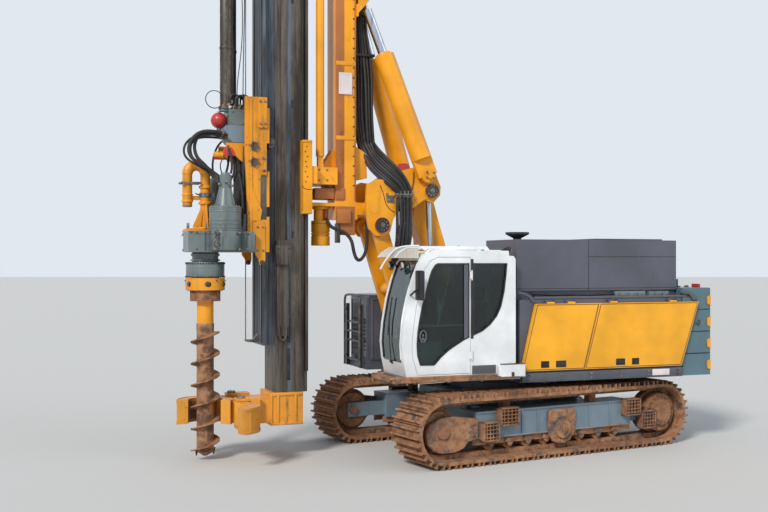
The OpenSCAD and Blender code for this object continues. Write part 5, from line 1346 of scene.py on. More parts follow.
def valve_blocks():
    """The two stacked valve blocks with the round red accumulator, in place of the plain block."""
    upper = block("valve_block", (4.094, -0.150, 4.758), (4.330, 0.296, 4.982), 0.010)
    inset_faces(upper, facing("Y"), 0.022, -0.006)
    plugs = [bolts("block_bolts", [(4.13, 0.296, 4.79), (4.29, 0.296, 4.79), (4.13, 0.296, 4.95),
                 (4.29, 0.296, 4.95)], NEAR, 0.011, 0.010),
             bolts("block_bolts",
                 [(4.13, y, 4.985) for y in (-0.1, 0.05, 0.22)] + [(4.345, y, 4.62) for y in (-0.12, 0.27)],
                 UP, 0.012, 0.012)]
    fit(joined("upper_valve_block", [upper]), "sledge", drive_grey, "drive_paint", "manifold")
    lower = cut_plate("valve_base", [(4.094, 4.756), (4.094, 4.510), (4.290, 4.510), (4.348, 4.575),
        (4.348, 4.756)], "Y", -0.196, 0.298)
    shelf = cut_plate("tube_shelf", [(4.300, 4.962), (4.434, 4.962), (4.434, 4.988), (4.300, 4.988)], "Y",
        0.036, 0.204)
    ledge = cut_plate("valve_ledge", [(4.330, 4.750), (4.395, 4.735), (4.395, 4.675), (4.330, 4.600)], "Y",
        0.02, 0.280)
    fit(joined("lower_valve_block", [lower, ledge, shelf]), "sledge", frame_blue, "drive_paint")
    put_down()
    bpy.ops.mesh.primitive_uv_sphere_add(segments=36, ring_count=20, radius=0.115, location=at(*BALL))
    ball = bpy.context.object
    settle(ball)
    pick_up(ball)
    bpy.ops.object.shade_smooth()
    x, y, z = BALL
    weld = seam("accumulator_weld", [(*on_circle(x, y, 0.1155, t), z) for t in turns(40)], 0.004)
    fit(joined("accumulator", [ball, weld]), "sledge", red_paint, "drive_paint")
    neck = [upright("accumulator_neck", (x, y), 4.700, 4.735, 0.034, sides=16),
            upright("accumulator_cap", (x, y), 4.948, 4.975, 0.026, 0.020, sides=16),
            block("accumulator_clip", (4.345, 0.045, 4.795), (4.372, 0.075, 4.885), 0.003)]
    fittings = []
    for i in range(9):
        x, y = 4.11 + 0.027 * i, (0.30, 0.24, 0.27)[i % 3]
        fittings.append(round_bar("union", (x, y - 0.02, 4.975), (x, y - 0.02, 5.030 + 0.018 * (i % 3)),
            0.013, 0.010, sides=10, edge=0))
    for i in range(6):
        z = 4.55 + 0.033 * i
        fittings.append(round_bar("union", (4.345, 0.265 - 0.03 * (i % 3), z),
            (4.384, 0.265 - 0.03 * (i % 3), z), 0.012, sides=10, edge=0))
    fit(joined("accumulator_neck", neck + fittings + plugs), "sledge", bolt_steel, "mast_steel")
    pipes = []
    ends = [(4.12, 0.28, 5.04), (4.16, 0.22, 5.05), (4.20, 0.25, 5.03), (4.24, 0.28, 5.04),
        (4.28, 0.22, 5.05), (4.31, 0.25, 5.04)]
    for i, (x, y, z) in enumerate(ends):
        pipes.append(bent_pipe("valve_pipe", [(x, y, z), (x + 0.02, y + 0.03, z + 0.12 + 0.02 * (i % 3)),
            (x - 0.06, y + 0.05 - 0.02 * i * 0.3, z + 0.17), (4.055 - 0.008 * i, 0.28 - 0.02 * i, z + 0.05),
            (4.070, 0.25 - 0.03 * i, z - 0.12)], 0.012 + 0.003 * (i % 2), sides=10))
    arc = [math.radians(a) for a in range(200, 535, 25)]
    coil = [(4.526 + 0.128 * math.cos(a), 0.18, 5.121 + 0.128 * math.sin(a)) for a in arc]
    lead_in = [(4.26, 0.20, 5.000), (4.36, 0.19, 5.045), (4.44, 0.185, 5.085)]
    lead_out = [(4.36, 0.18, 5.24), (4.26, 0.17, 5.10)]
    loop = [bent_pipe("cable_loop", lead_in + coil + lead_out, 0.0065, sides=8)]
    fit(joined("valve_pipes", pipes + loop), "sledge", black_rubber, "black_rubber")
    tape = [round_bar("tape_wrap", (4.335, 0.262, 5.000), (4.300, 0.262, 5.020), 0.016, sides=12),
            round_bar("tape_wrap", (4.300, 0.235, 5.060), (4.285, 0.235, 5.110), 0.018, sides=12)]
    fit(joined("tape_wraps", tape), "sledge", blank_plate, "cab_paint")


def gearbox_trim():
    """Joints, bolts, bands and ribs of the gearbox and its two motors, with the chain and hook."""
    seams, bolt_parts, grey = [], [], []
    for side in (-1, 1):
        y = side * 0.576
        seams.append(seam("box_joint", [(4.722, y, 2.972), (4.722, y, 3.236)], 0.006, False))
        seams.append(seam("box_joint", [(4.100, y, 3.205), (4.880, y, 3.205)], 0.004, False))
        bolt_parts.append(
            bolts("box_bolts", [(x, side * 0.576, z) for x in (4.14, 4.25, 4.60, 4.84)
                for z in (2.995, 3.225)], (0, side, 0), 0.013, 0.013))
        cx, cy = 4.405, side * 0.350
        for z in (3.290, 3.345, 3.400, 3.520, 3.552, 3.578):
            grey.append(upright("drum_band", (cx, cy), z, z + 0.018, 0.2295, sides=48, edge=0.004))
        grey.append(upright("drum_flange", (cx, cy), 3.249, 3.275, 0.238, sides=48, edge=0.004))
        grey.append(upright("cone_flange", (cx, cy), 3.586, 3.612, 0.172, sides=40, edge=0.004))
        grey.append(upright("cone_cap", (cx, cy), 4.036, 4.075, 0.072, 0.058, sides=28, edge=0.006))
        bolt_parts.append(bolts("drum_bolts", ring_of((cx, cy, 3.590), "Z", 0.198, 14), UP, 0.014, 0.016))
        bolt_parts.append(bolts("cone_bolts", ring_of((cx, cy, 3.612), "Z", 0.158, 10, 0.2), UP, 0.010,
            0.012))
        for a in turns(6):
            t = a + 0.3
            low = (*on_circle(cx, cy, 0.152, t), 3.610)
            high = (*on_circle(cx, cy, 0.093, t), 3.840)
            grey.append(seam("cone_rib", [low, high], 0.010, False))
        for a, z in ((0.6, 3.90), (1.5, 3.93), (2.3, 3.88)):
            t = a * side
            bolt_parts.append(round_bar("port_union", (*on_circle(cx, cy, 0.085, t), z),
                (*on_circle(cx, cy, 0.135, t), z + 0.01), 0.020, 0.016, sides=12))
        y0, y1 = sorted((side * 0.428, side * 0.5745))
        grey.append(block("box_side", (4.030, y0, 2.968), (4.125, y1, 3.244), 0.006))
        grey.append(upright("drum_bulge", (cx, side * 0.372), 2.985, 3.250, 0.230, sides=48, edge=0.004))
    fit(joined("gearbox_joints", seams), "sledge", black_moulding, "black_plastic")
    base = [block("swivel_base", (4.470, -0.300, 3.2485), (4.905, 0.300, 3.274), 0.006),
            cut_plate("swivel_base_rim", [(4.640, -0.20), (4.905, -0.20), (4.905, 0.20), (4.640, 0.20)], "Z",
                3.274, 3.292)]
    fit(joined("swivel_base", base), "sledge", work_yellow, "yellow_paint")
    stud_places = ((4.885, 0.10), (4.885, 0.17), (4.885, 0.03), (4.66, 0.27), (4.60, 0.27))
    studs = [upright("base_stud", (x, y), 3.270, 3.372, 0.009, sides=10, edge=0.002) for x, y in stud_places]
    studs.append(bolts("base_bolts", [(x, y, 3.274) for x in (4.50, 4.68, 4.87) for y in (-0.27, 0.27)], UP,
        0.014, 0.014))
    fit(joined("base_studs", studs), "sledge", bolt_steel, "mast_steel")
    fit(joined("gearbox_bolts", bolt_parts), "sledge", bolt_steel, "mast_steel")
    fit(joined("motor_bands", grey), "sledge", drive_grey, "drive_paint")
    links = [[(4.577 + 0.020 * math.cos(a), 0.600, z + 0.034 * math.sin(a)) for a in turns(10, 1)]
             for z in (3.235, 3.175)]
    links.append([(4.577, 0.592 + 0.014 * math.cos(a), 3.205 + 0.034 * math.sin(a)) for a in turns(10, 1)])
    hook = [bent_pipe("chain_link", link, 0.007, sides=8, order=3) for link in links]
    hook.append(bent_pipe("load_hook", [(4.577, 0.592, 3.145), (4.600, 0.592, 3.110), (4.612, 0.592, 3.065),
        (4.590, 0.592, 3.025), (4.556, 0.592, 3.035), (4.546, 0.592, 3.070), (4.560, 0.592, 3.100)], 0.012,
        sides=10))
    fit(joined("chain_and_hook", hook), "sledge", dark_steel, "mast_steel")


def swivel_trim():
    """Clamp, collars and struts of the gooseneck, the drive's lines, and the tubes' clips and cables."""
    parts = [upright("neck_flange", (SPINDLE_X, 0), 3.288, 3.312, 0.178, sides=40),
             upright("neck_collar", (SPINDLE_X, 0), 3.640, 3.680, 0.098, sides=32, edge=0.006),
             upright("neck_collar", (SPINDLE_X, 0), 3.870, 3.905, 0.094, sides=32, edge=0.006),
             upright("leg_collar", (4.878, 0), 3.668, 3.700, 0.082, sides=32, edge=0.005),
             upright("leg_collar", (4.878, 0), 3.766, 3.788, 0.080, sides=32, edge=0.005)]
    for side in (-1, 1):
        strut = ((0.05, 3.655), (0.088, 3.640), (0.175, 3.335), (0.175, 3.300), (0.135, 3.300),
            (0.055, 3.560))
        parts.append(cut_plate("neck_strut", [(side * y, z) for y, z in strut], "X", 4.608, 4.636))
        parts.append(
            cut_plate("base_web", [(4.66, 3.56), (4.69, 3.56), (4.79, 3.33), (4.79, 3.30), (4.70, 3.30)],
                "Y", side * 0.055 - 0.010, side * 0.055 + 0.010))
    fit(joined("swivel_struts", parts), "sledge", yellow, "yellow_paint")
    steel = [block("neck_clamp", (4.690, y, 3.925), (4.985, y + 0.020, 3.955), 0.003)
        for y in (-0.098, 0.078)]
    steel += [crosswise("clamp_bar", (x, 3.94), -0.13, 0.13, 0.010, sides=12) for x in (4.72, 4.975)]
    steel += [upright("coupling", (SPINDLE_X, 0), 3.745, 3.805, 0.088, sides=28, edge=0.006),
              upright("leg_cap", (4.878, 0), 3.600, 3.624, 0.062, 0.072, sides=28),
              bolts("neck_bolts", ring_of((SPINDLE_X, 0, 3.312), "Z", 0.150, 12), UP, 0.012, 0.014)]
    lever = [bent_pipe("cock_lever", [(4.70, 0.0, 3.775), (4.745, 0.03, 3.78), (4.775, 0.09, 3.79)], 0.010,
        sides=10, order=3)]
    fit(joined("swivel_clamp", steel + lever), "sledge", bolt_steel, "mast_steel")
    lines = []
    spots = [((4.36, 0.24, 4.50), (4.34, 0.36, 4.38), (4.30, 0.40, 4.20), (4.33, 0.37, 4.06)),
             ((4.35, 0.20, 4.49), (4.30, 0.30, 4.33), (4.24, 0.33, 4.16), (4.30, 0.36, 4.02),
                 (4.34, 0.36, 3.95)),
             ((4.30, 0.10, 4.50), (4.22, 0.18, 4.30), (4.20, 0.25, 4.10), (4.27, 0.31, 3.97)),
             ((4.28, -0.10, 4.50), (4.22, -0.20, 4.30), (4.24, -0.30, 4.10), (4.33, -0.33, 4.00)),
             ((4.36, -0.14, 4.56), (4.44, -0.28, 4.48), (4.48, -0.36, 4.26), (4.43, -0.35, 4.07)),
             ((4.20, 0.28, 4.10), (4.16, 0.33, 3.90), (4.14, 0.34, 3.62), (4.16, 0.33, 3.40),
                 (4.16, 0.30, 3.255)),
             ((4.16, 0.18, 4.30), (4.14, 0.22, 4.00), (4.13, 0.16, 3.70), (4.15, 0.10, 3.45),
                 (4.18, 0.06, 3.27)),
             ((4.43, 0.31, 4.04), (4.50, 0.38, 4.14), (4.47, 0.42, 4.26), (4.40, 0.40, 4.30),
                 (4.36, 0.36, 4.20), (4.38, 0.33, 4.06))]
    for i, places in enumerate(spots):
        lines.append(bent_pipe("drive_line", list(places), (0.017, 0.014, 0.019, 0.017, 0.015, 0.020, 0.018,
            0.008)[i]))
    fit(joined("drive_lines", lines), "sledge", black_rubber, "black_rubber")
    thin = [bent_pipe("thin_cable", [(4.148, 0.10, 7.50), (4.120, 0.10, 6.8), (4.086, 0.10, 6.2),
                (4.150, 0.12, 5.6), (4.205, 0.14, 5.30), (4.20, 0.20, 5.02)], 0.007, sides=8),
            bent_pipe("thin_cable", [(4.062, 0.05, 7.50), (4.062, 0.05, 6.9), (4.072, 0.10, 6.3),
                (4.110, 0.16, 5.6), (4.13, 0.24, 5.02)], 0.007, sides=8)]
    fit(joined("tube_cables", thin), "sledge", black_rubber, "black_rubber")
    clips = []
    for z in (5.85, 7.35):
        for x, y in TUBES:
            clips.append(upright("tube_clip", (x, y), z, z + 0.035, 0.093, sides=32))
        clips.append(
            cut_plate("clip_bridge", [(4.265, -0.07), (4.285, -0.075), (4.335, 0.065), (4.315, 0.07)], "Z",
                z + 0.004, z + 0.031))
    for x, y in TUBES:
        clips.append(upright("tube_foot", (x, y), 4.990, 5.020, 0.104, sides=32))
        clips.append(upright("tube_cap", (x, y), 7.590, 7.606, 0.092, sides=32))
    fit(joined("tube_clips", clips), "sledge", dark_steel, "mast_steel")
    seams = [seam("tube_line", [(*on_circle(4.350, 0.120, 0.086, a), 5.02),
        (*on_circle(4.350, 0.120, 0.086, a), 7.58)], 0.008, False) for a in (0.35, 1.35, 2.1)]
    fit(joined("tube_lines", seams), "sledge", rope_steel, "mast_steel")
    rolls = [round_bar("tape_wrap", (4.395, 0.150, 5.018), (4.375, 0.160, 5.085), 0.040, sides=16,
                 edge=0.008),
             round_bar("tape_wrap", (4.300, 0.205, 5.000), (4.330, 0.200, 5.070), 0.034, sides=16,
                 edge=0.008)]
    fit(joined("tube_wraps", rolls), "sledge", muddy_plate, "cab_paint")


def spindle_trim():
    """Toothed rings, the bolted collar, bands and shells of the spindle, and the cutting teeth."""
    teeth, bolt_parts, rings = [], [], []
    for z, out in ((2.800, 0.272), (2.612, 0.272)):
        for a in turns(44):
            teeth.append(bolts("drum_tooth", [(*on_circle(SPINDLE_X, 0, out, a), z)],
                (math.cos(a), math.sin(a), 0), 0.011, 0.010))
    fit(joined("drum_teeth", teeth), "auger", dark_steel, "drive_paint")
    for z in (2.690, 2.745):
        rings.append(upright("drum_groove", (SPINDLE_X, 0), z, z + 0.008, 0.2735, sides=64, edge=0.002))
    rings.append(upright("neck_ring", (SPINDLE_X, 0), 2.905, 2.940, 0.205, sides=48, edge=0.006))
    rings.append(upright("neck_ring", (SPINDLE_X, 0), 2.835, 2.858, 0.212, sides=48, edge=0.006))
    rings.append(upright("drum_shell", (SPINDLE_X, 0), 2.6062, 2.8214, 0.2722, sides=96, edge=0.003))
    rings.append(upright("neck_shell", (SPINDLE_X, 0), 2.8220, 2.9580, 0.1875, sides=64, edge=0.002))
    fit(joined("drum_rings", rings), "auger", drive_grey, "drive_paint")
    for i, a in enumerate(turns(6)):
        t = a + math.radians(26)
        bolt_parts.append(bolts("collar_bolts", [(*on_circle(SPINDLE_X, 0, COLLAR_R, t), 2.508)],
            (math.cos(t), math.sin(t), 0), 0.030, 0.018))
        if i == 0:
            bolt_parts.append(bolts("collar_bolts", ring_of((SPINDLE_X, 0, 2.424), "Z", 0.245, 12),
                (0, 0, -1), 0.012, 0.012))
        else:
            pin = t + 0.5
            bolt_parts.append(bolts("collar_pins", [(*on_circle(SPINDLE_X, 0, COLLAR_R, pin), 2.555)],
                (math.cos(pin), math.sin(pin), 0), 0.010, 0.010))
    fit(joined("collar_bolts", bolt_parts), "auger", dark_steel, "mast_steel")
    bands = [upright("lower_ring", (SPINDLE_X, 0), 2.270, 2.290, 0.218, sides=48, edge=0.005),
             upright("lower_ring", (SPINDLE_X, 0), 2.396, 2.416, 0.218, sides=48, edge=0.005),
             upright("lower_shell", (SPINDLE_X, 0), 2.2655, 2.4195, 0.2150, sides=64, edge=0.003)]
    fit(joined("lower_rings", bands), "auger", auger_steel, "mast_steel")
    rubbed = [upright("rubbed_band", (SPINDLE_X, 0), 1.853, 1.945, 0.1255, sides=40, edge=0.002)]
    inset_faces(rubbed[0], facing("Z", -1), 0.01, 0.0)
    fit(joined("rubbed_band", rubbed), "auger", muddy_plate, "mast_steel")
    teeth = []
    for t in (0.2, math.pi + 0.2):
        tip = on_circle(SPINDLE_X, 0, 0.13, t)
        teeth.append(
            cut_plate("cutting_tooth", [(tip[0] - 0.025, 0.165), (tip[0] + 0.025, 0.165),
                (tip[0] + 0.012, 0.075), (tip[0] - 0.002, 0.065)], "Y", tip[1] - 0.012, tip[1] + 0.012))
    fit(joined("cutting_teeth", teeth), "auger", dark_steel, "mast_steel")


def foot_trim():
    """Ribs, lips and pin caps of the mast foot."""
    ribs, pins = [], []
    for side in (-1, 1):
        for x in (3.36, 3.62, 3.72):
            y0, y1 = sorted((side * 0.299, side * 0.322))
            ribs.append(block("foot_rib", (x, y0, 0.492), (x + 0.026, y1, 0.938), 0.003))
        y0, y1 = sorted((side * 0.299, side * 0.318))
        ribs.append(block("foot_lip", (3.27, y0, 0.905), (3.735, y1, 0.944), 0.003))
        ribs.append(block("foot_lip", (3.27, y0, 0.486), (3.735, y1, 0.522), 0.003))
        for low_z, high_z in ((0.900, 0.922), (0.462, 0.480)):
            pins.append(upright("jaw_pin_cap", (4.180, side * 0.330), low_z, high_z, 0.062, sides=28))
        pins.append(bolts("jaw_pin_bolts", ring_of((4.180, side * 0.330, 0.922), "Z", 0.040, 4), UP, 0.010,
            0.010))
    fit(joined("foot_ribs", ribs), "leader", foot_yellow, "yellow_paint")
    fit(joined("jaw_pin_caps", pins), "leader", bolt_steel, "mast_steel")


def turned_about_pin(piece, angle):
    """Turns a piece that was made on the closed left jaw to where that jaw stands open."""
    piece.data.transform(turn_about(at(4.180, 0.330, 0), angle))
    return piece


def spindle_arc(radius, first, step, count):
    """Places round the spindle's axis, from the first angle on in even steps, in degrees."""
    return [on_circle(SPINDLE_X, 0, radius, math.radians(first + step * i)) for i in range(count)]


def jaw_trim():
    """Rims, ribs and worn liners of the two jaws; the left one stands open."""
    for side, body in ((1, "jaw_left"), (-1, "jaw_right")):
        rims, liners = [], []
        for low_z, high_z in ((0.822, 0.866), (0.514, 0.558)):
            rim = spindle_arc(0.407, 6, 12, 9) + spindle_arc(0.380, 102, -12, 9)
            rims.append(cut_plate("jaw_rim", rim, "Z", low_z, high_z))
        for a in (20, 55, 88):
            t = math.radians(a)
            rib = [on_circle(SPINDLE_X, 0, r, t + d)
                for r, d in ((0.385, -0.03), (0.405, -0.03), (0.405, 0.03), (0.385, 0.03))]
            rims.append(cut_plate("jaw_rib", rib, "Z", 0.55, 0.83))
        inner = spindle_arc(0.247, 8, 14, 8) + spindle_arc(0.238, 106, -14, 8)
        liners.append(cut_plate("jaw_liner", inner, "Z", 0.56, 0.82))
        for name, parts, finish, slot in (("rims", rims, foot_yellow, "yellow_paint"),
            ("liner", liners, auger_steel, "mast_steel")):
            piece = joined(f"{body}_{name}", parts)
            if side > 0:
                turned_about_pin(piece, math.radians(100))
            else:
                flat = mirrored(piece, f"{body}_{name}")
                bpy.data.objects.remove(piece)
                piece = flat
            fit(piece, body, finish, slot)


sledge_trim()
valve_blocks()
gearbox_trim()
swivel_trim()
spindle_trim()
foot_trim()
jaw_trim()

# Crawlers

TURN_OF_TRACKS = turn_about(at(0, 0, 0), TRACK_YAW)
AXLE_Z, WHEEL_X, CHAIN_R, SHOE_COUNT, TRACK_Y = 0.500, 2.000, 0.412, 56, 1.250
LINK_CORNERS = ((-1, -0.6), (-0.7, -1), (0.7, -1), (1, -0.6), (1, 0.6), (0.7, 1), (-0.7, 1), (-1, 0.6))


def both_tracks(name, parts, finish, slot):
    """Joins pieces of the left crawler, doubles them for the right one and turns both."""
    left = joined(name, parts)
    right = mirrored(left, name + "_right")
    both = joined(name, [left, right])
    both.data.transform(TURN_OF_TRACKS)
    return fit(both, "undercarriage", finish, slot)


def along_chain(count, out, start=0.5):
    """Places on the chain's path, each with its outward direction."""
    straight, bend = 2 * WHEEL_X, math.pi * CHAIN_R
    pitch = 2 * (straight + bend) / SHOE_COUNT
    spots = []
    for i in range(count):
        s = (i + start) * pitch
        if s < straight:
            x, z, nx, nz = s - WHEEL_X, AXLE_Z + CHAIN_R, 0.0, 1.0
        elif s < straight + bend:
            a = (s - straight) / CHAIN_R
            nx, nz = math.sin(a), math.cos(a)
            x, z = WHEEL_X + (CHAIN_R - 0.006) * nx, AXLE_Z + (CHAIN_R - 0.006) * nz
        elif s < 2 * straight + bend:
            x, z, nx, nz = WHEEL_X - (s - straight - bend), AXLE_Z - CHAIN_R, 0.0, -1.0
        else:
            a = (s - 2 * straight - bend) / CHAIN_R
            nx, nz = -math.sin(a), -math.cos(a)
            x, z = -WHEEL_X + (CHAIN_R - 0.006) * nx, AXLE_Z + (CHAIN_R - 0.006) * nz
        spots.append(((x + nx * out, z + nz * out), (nx, nz)))
    return spots


def shoe_bolts():
    """Four bolts on each track shoe, between its lugs."""
    model = hex_bolt(0.013, 0.011)
    parts = []
    for (x, z), (nx, nz) in along_chain(SHOE_COUNT, 0.034):
        turn = Vector((nx, 0, nz)).to_track_quat("Z", "Y").to_matrix().to_4x4()
        for y in (-0.085, 0.085):
            for slip in (-0.020, 0.020):
                place = at(x + slip * nz, TRACK_Y + y, z - slip * nx)
                parts.append(copy_of(model, "shoe_bolt", Matrix.Translation(place) @ turn))
    bpy.data.objects.remove(model)
    both_tracks("shoe_bolts", parts, muddy_plate, "track_steel")


def chain_pins():
    """The bosses of the chain pins and the plates of the links."""
    bosses = []
    for (x, z), (nx, nz) in along_chain(SHOE_COUNT, -0.045, 0.0):
        for y0, y1 in ((TRACK_Y + 0.124, TRACK_Y + 0.134), (TRACK_Y - 0.134, TRACK_Y - 0.124)):
            bosses.append(crosswise("pin_boss", (x, z), y0, y1, 0.027, sides=10, edge=0))
    both_tracks("chain_pins", bosses, track_steel, "track_steel")
    plates = []
    for (x, z), (nx, nz) in along_chain(SHOE_COUNT, -0.040, 0.5):
        a, b = 0.052, 0.024
        corners = [(x + a * nz * i + b * nx * j, z - a * nx * i + b * nz * j) for i, j in LINK_CORNERS]
        plates.append(cut_plate("link_plate", corners, "Y", TRACK_Y + 0.124, TRACK_Y + 0.130, 0))
    both_tracks("link_plates", plates, muddy_plate, "track_steel")


def frame_side():
    """Steps, pivot boss, idler cover, final drive, roller caps and lips on the outer side."""
    steps, dark = [], []
    face = TRACK_Y + 0.200
    for x0, x1, z0, z1 in ((1.098, 1.370, 0.320, 0.592), (0.758, 1.080, 0.518, 0.774),
        (-1.544, -1.240, 0.494, 0.752), (-1.852, -1.564, 0.277, 0.553)):
        rim = 0.022
        low_y, high_y = face - 0.004, face + 0.118
        steps.append(block("step_side", (x0, low_y, z0), (x0 + rim, high_y, z1), 0.003))
        steps.append(block("step_side", (x1 - rim, low_y, z0), (x1, high_y, z1), 0.003))
        steps.append(block("step_top", (x0, low_y, z1 - rim), (x1, high_y, z1), 0.003))
        steps.append(block("step_bottom", (x0, low_y, z0), (x1, high_y, z0 + rim), 0.003))
        columns, rows = 5, 5
        for i in range(1, columns):
            x = x0 + (x1 - x0) * i / columns
            steps.append(block("step_bar", (x - 0.007, high_y - 0.020, z0 + rim),
                (x + 0.007, high_y - 0.004, z1 - rim), 0))
        for i in range(1, rows):
            z = z0 + (z1 - z0) * i / rows
            steps.append(block("step_bar", (x0 + rim, high_y - 0.016, z - 0.007),
                (x1 - rim, high_y, z + 0.007), 0))
        dark.append(block("step_back", (x0 + rim, face - 0.004, z0 + rim),
            (x1 - rim, face + 0.030, z1 - rim), 0))
    both_tracks("track_steps", steps, muddy_plate, "mud_plate")
    both_tracks("step_backs", dark, black_moulding, "black_plastic")
    boss = [(-0.300, 0.680), (0.130, 0.680), (0.165, 0.640), (0.165, 0.330), (0.095, 0.215), (0.020, 0.185),
        (-0.150, 0.185), (-0.225, 0.215), (-0.300, 0.330), (-0.335, 0.640)]
    plates = [cut_plate("pivot_plate", boss, "Y", face - 0.004, face + 0.045, 0.012),
              crosswise("pivot_hub", (-0.064, 0.397), face + 0.040, face + 0.090, 0.150, 0.135, sides=40,
                  edge=0.012),
              bolts("pivot_bolts", ring_of((-0.064, face + 0.045, 0.397), "Y", 0.178, 10), NEAR, 0.018,
                  0.016)]
    inset_faces(plates[1], facing("Y"), 0.045, -0.014)
    cover = [(1.400, 0.640), (1.820, 0.700), (2.020, 0.690), (2.190, 0.620), (2.270, 0.500), (2.240, 0.350),
        (2.150, 0.250), (2.030, 0.205), (1.780, 0.205), (1.640, 0.250), (1.560, 0.335), (1.400, 0.350)]
    plates.append(cut_plate("idler_cover", cover, "Y", TRACK_Y + 0.150, face + 0.030, 0.015))
    plates.append(
        bolts("idler_bolts", [(1.50, face + 0.030, 0.42), (1.50, face + 0.030, 0.58),
            (1.66, face + 0.030, 0.62), (2.14, face + 0.030, 0.42)], NEAR, 0.020, 0.018))
    plates.append(crosswise("idler_boss", (2.000, 0.500), face + 0.020, face + 0.062, 0.105, 0.095, sides=32,
        edge=0.008))
    drive = [crosswise("final_drive", (-2.000, 0.500), TRACK_Y + 0.120, face + 0.040, 0.300, 0.290, sides=48,
                 edge=0.012),
             crosswise("drive_cap", (-2.000, 0.500), face + 0.035, face + 0.095, 0.215, 0.195, sides=40,
                 edge=0.012),
             bolts("drive_bolts", ring_of((-2.000, face + 0.040, 0.500), "Y", 0.252, 18), NEAR, 0.017,
                 0.016),
             bolts("cap_bolts", ring_of((-2.000, face + 0.095, 0.500), "Y", 0.150, 8), NEAR, 0.014, 0.013)]
    rollers = []
    for i in range(8):
        x = -1.150 + i * 2.300 / 7
        rollers.append(crosswise("roller_cap", (x, 0.256), TRACK_Y + 0.150, TRACK_Y + 0.176, 0.046,
            sides=20))
        rollers.append(block("roller_foot", (x - 0.075, TRACK_Y + 0.150, 0.268),
            (x + 0.075, TRACK_Y + 0.186, 0.345), 0.006))
    lips = [block("frame_lip", (-1.415, face - 0.002, 0.704), (1.415, face + 0.016, 0.728), 0.004),
            block("frame_lip", (-1.415, face - 0.002, 0.352), (1.415, face + 0.016, 0.376), 0.004)]
    for x in (-1.02, -0.62, 0.34, 0.62):
        lips.append(block("frame_rib", (x, face - 0.002, 0.376), (x + 0.022, face + 0.014, 0.704), 0.003))
    both_tracks("pivot_and_covers", plates, muddy_plate, "track_steel")
    both_tracks("final_drives", drive, track_steel, "track_steel")
    both_tracks("roller_caps", rollers, muddy_plate, "track_steel")
    both_tracks("frame_lips", lips, frame_blue, "weight_paint")


def slewing_ring():
    """Teeth and bolts round the slewing ring."""
    ring = []
    root, tip = 0.699, 0.722
    for a in turns(48):
        outline = [on_circle(0, 0, r, a + d)
            for r, d in ((root, -0.045), (tip, -0.02), (tip, 0.02), (root, 0.045))]
        ring.append(cut_plate("ring_tooth", outline, "Z", 0.908, 0.972, 0))
    for piece in ring:
        piece.data.transform(TURN_OF_TRACKS)
    fit(joined("ring_teeth", ring), "undercarriage", dark_steel, "mast_steel")
    heads = bolts("ring_bolts", ring_of((0, 0, 0.889), "Z", 0.712, 36), UP, 0.014, 0.014)
    fit(heads, "undercarriage", bolt_steel, "mast_steel")


shoe_bolts()
chain_pins()
frame_side()
slewing_ring()


# Platform, cabinet and rails ahead of the house

def platform_trim():
    """Planks with dried mud on the walkway, its brackets, and the rails and lids of the front cabinet."""
    planks = []
    for i, (y0, y1) in enumerate(((1.478, 1.586), (1.372, 1.436), (0.72, 0.80))):
        planks.append(block("plank", (0.44 if i else 0.78, y0, 1.2103), (2.40 - 0.03 * i, y1, 1.234), 0.004))
    ends = [block("plank_batten", (x, 0.70, 1.1400), (x + 0.05, 1.585, 1.1597), 0.003)
        for x in (0.52, 1.00, 1.50, 2.00, 2.28)]
    fit(joined("planks", planks), "house", muddy_plate, "mud_plate")
    fit(joined("plank_battens", ends), "house", dark_steel, "mast_steel")
    rails = [bent_pipe("front_rail_pipe", [(2.072, -0.66, 1.16), (2.072, -0.66, 2.10), (2.072, -0.66, 2.24),
                 (2.072, -0.74, 2.30), (2.072, -1.34, 2.30), (2.072, -1.42, 2.24), (2.072, -1.42, 2.10),
                 (2.072, -1.42, 1.16)], 0.019, order=3),
             bent_pipe("knee_rail", [(2.072, -0.66, 1.72), (2.072, -1.42, 1.72)], 0.014, order=2)]
    for y in (-0.70, -1.38):
        for z in (1.30, 2.05):
            rails.append(block("rail_clamp", (2.046, y - 0.022, z), (2.078, y + 0.022, z + 0.035), 0.003))
    fit(joined("platform_rails", rails), "house", rope_steel, "hood_paint")
    lids, dark = [], []
    face = -0.570
    for x0, x1 in ((0.925, 1.405), (1.435, 1.925)):
        door = block("cabinet_door", (x0, face - 0.002, 1.28), (x1, face + 0.012, 2.26), 0.005)
        lids.append(inset_faces(door, facing("Y"), 0.035, -0.005))
    front = block("cabinet_front", (1.948, -1.43, 1.28), (1.962, -0.60, 2.26), 0.005)
    lids.append(inset_faces(front, facing("X"), 0.04, -0.005))
    lids.append(block("cabinet_top", (0.905, -1.455, 2.290), (1.945, -0.575, 2.304), 0.005))
    for x in (1.385, 1.455):
        dark.append(block("cabinet_latch", (x - 0.012, face + 0.010, 1.72), (x + 0.012, face + 0.026, 1.86),
            0.004))
    for i in range(9):
        z = 1.42 + 0.06 * i
        dark.append(block("cabinet_slat", (1.960, -1.30, z), (1.968, -0.74, z + 0.028), 0))
    fit(joined("cabinet_doors", lids), "house", hood_grey, "hood_paint")
    fit(joined("cabinet_slats", dark), "house", black_moulding, "black_plastic")


platform_trim()

# Camera, floor and lamps

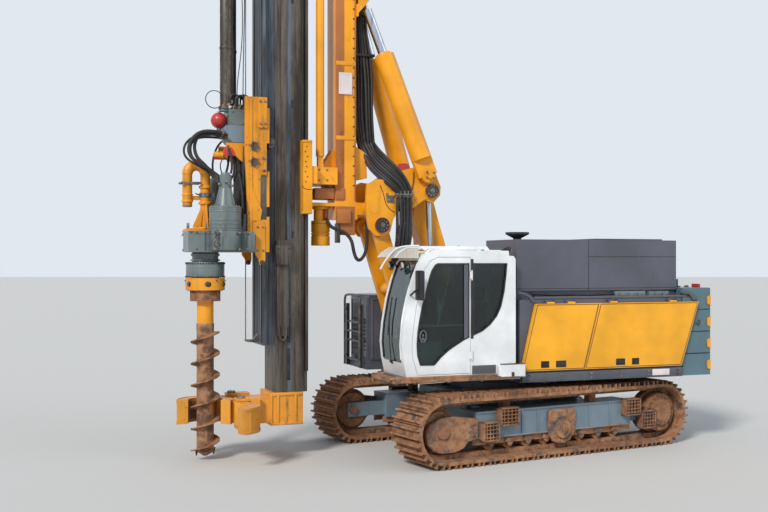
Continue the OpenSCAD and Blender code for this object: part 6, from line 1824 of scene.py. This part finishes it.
camera_data = bpy.data.cameras.new("photo_camera")
camera_data.lens = 50
camera_data.sensor_width = 36
camera_data.shift_y = 0.0078
camera_data.clip_end = 200
camera = bpy.data.objects.new("photo_camera", camera_data)
bpy.context.collection.objects.link(camera)
camera.location = at(7.43, 15.18, 2.82)
camera.rotation_euler = Vector((-0.342, -0.940, 0)).to_track_quat("-Z", "Y").to_euler()
bpy.context.scene.camera = camera

put_down()
bpy.ops.mesh.primitive_plane_add(size=400, location=(0, 0, 0))
floor = bpy.context.object
floor.name = "floor"
floor_mix = Mixer("pale_floor")
floor.data.materials.append(floor_mix.finish(srgb(206, 205, 202), 0.9))

world = bpy.data.worlds.new("studio") if not bpy.context.scene.world else bpy.context.scene.world
bpy.context.scene.world = world
world.use_nodes = True
sky = world.node_tree
background = sky.nodes["Background"]
background.inputs["Color"].default_value = srgb(214, 224, 236)
background.inputs["Strength"].default_value = 0.62
seen = sky.nodes.new("ShaderNodeBackground")
seen.inputs["Color"].default_value = srgb(226, 232, 240)
seen.inputs["Strength"].default_value = 1.0
path = sky.nodes.new("ShaderNodeLightPath")
shown = path.outputs["Is Camera Ray"]
for ray in ("Is Transmission Ray", "Is Glossy Ray"):
    either = sky.nodes.new("ShaderNodeMath")
    either.operation = "MAXIMUM"
    sky.links.new(shown, either.inputs[0])
    sky.links.new(path.outputs[ray], either.inputs[1])
    shown = either.outputs[0]
choose = sky.nodes.new("ShaderNodeMixShader")
sky.links.new(shown, choose.inputs[0])
sky.links.new(background.outputs[0], choose.inputs[1])
sky.links.new(seen.outputs[0], choose.inputs[2])
sky.links.new(choose.outputs[0], sky.nodes["World Output"].inputs["Surface"])


def lamp(name, direction, strength, spread, colour):
    data = bpy.data.lights.new(name, "SUN")
    data.energy = strength
    data.angle = math.radians(spread)
    data.color = colour
    made = bpy.data.objects.new(name, data)
    bpy.context.collection.objects.link(made)
    made.rotation_euler = Vector(direction).to_track_quat("-Z", "Y").to_euler()


lamp("key_lamp", (-0.62, -0.6, -0.62), 2.6, 12, (1.0, 0.97, 0.93))
lamp("fill_lamp", (0.7, -0.5, -0.35), 0.5, 40, (0.92, 0.95, 1.0))

bpy.context.scene.view_settings.view_transform = "Standard"
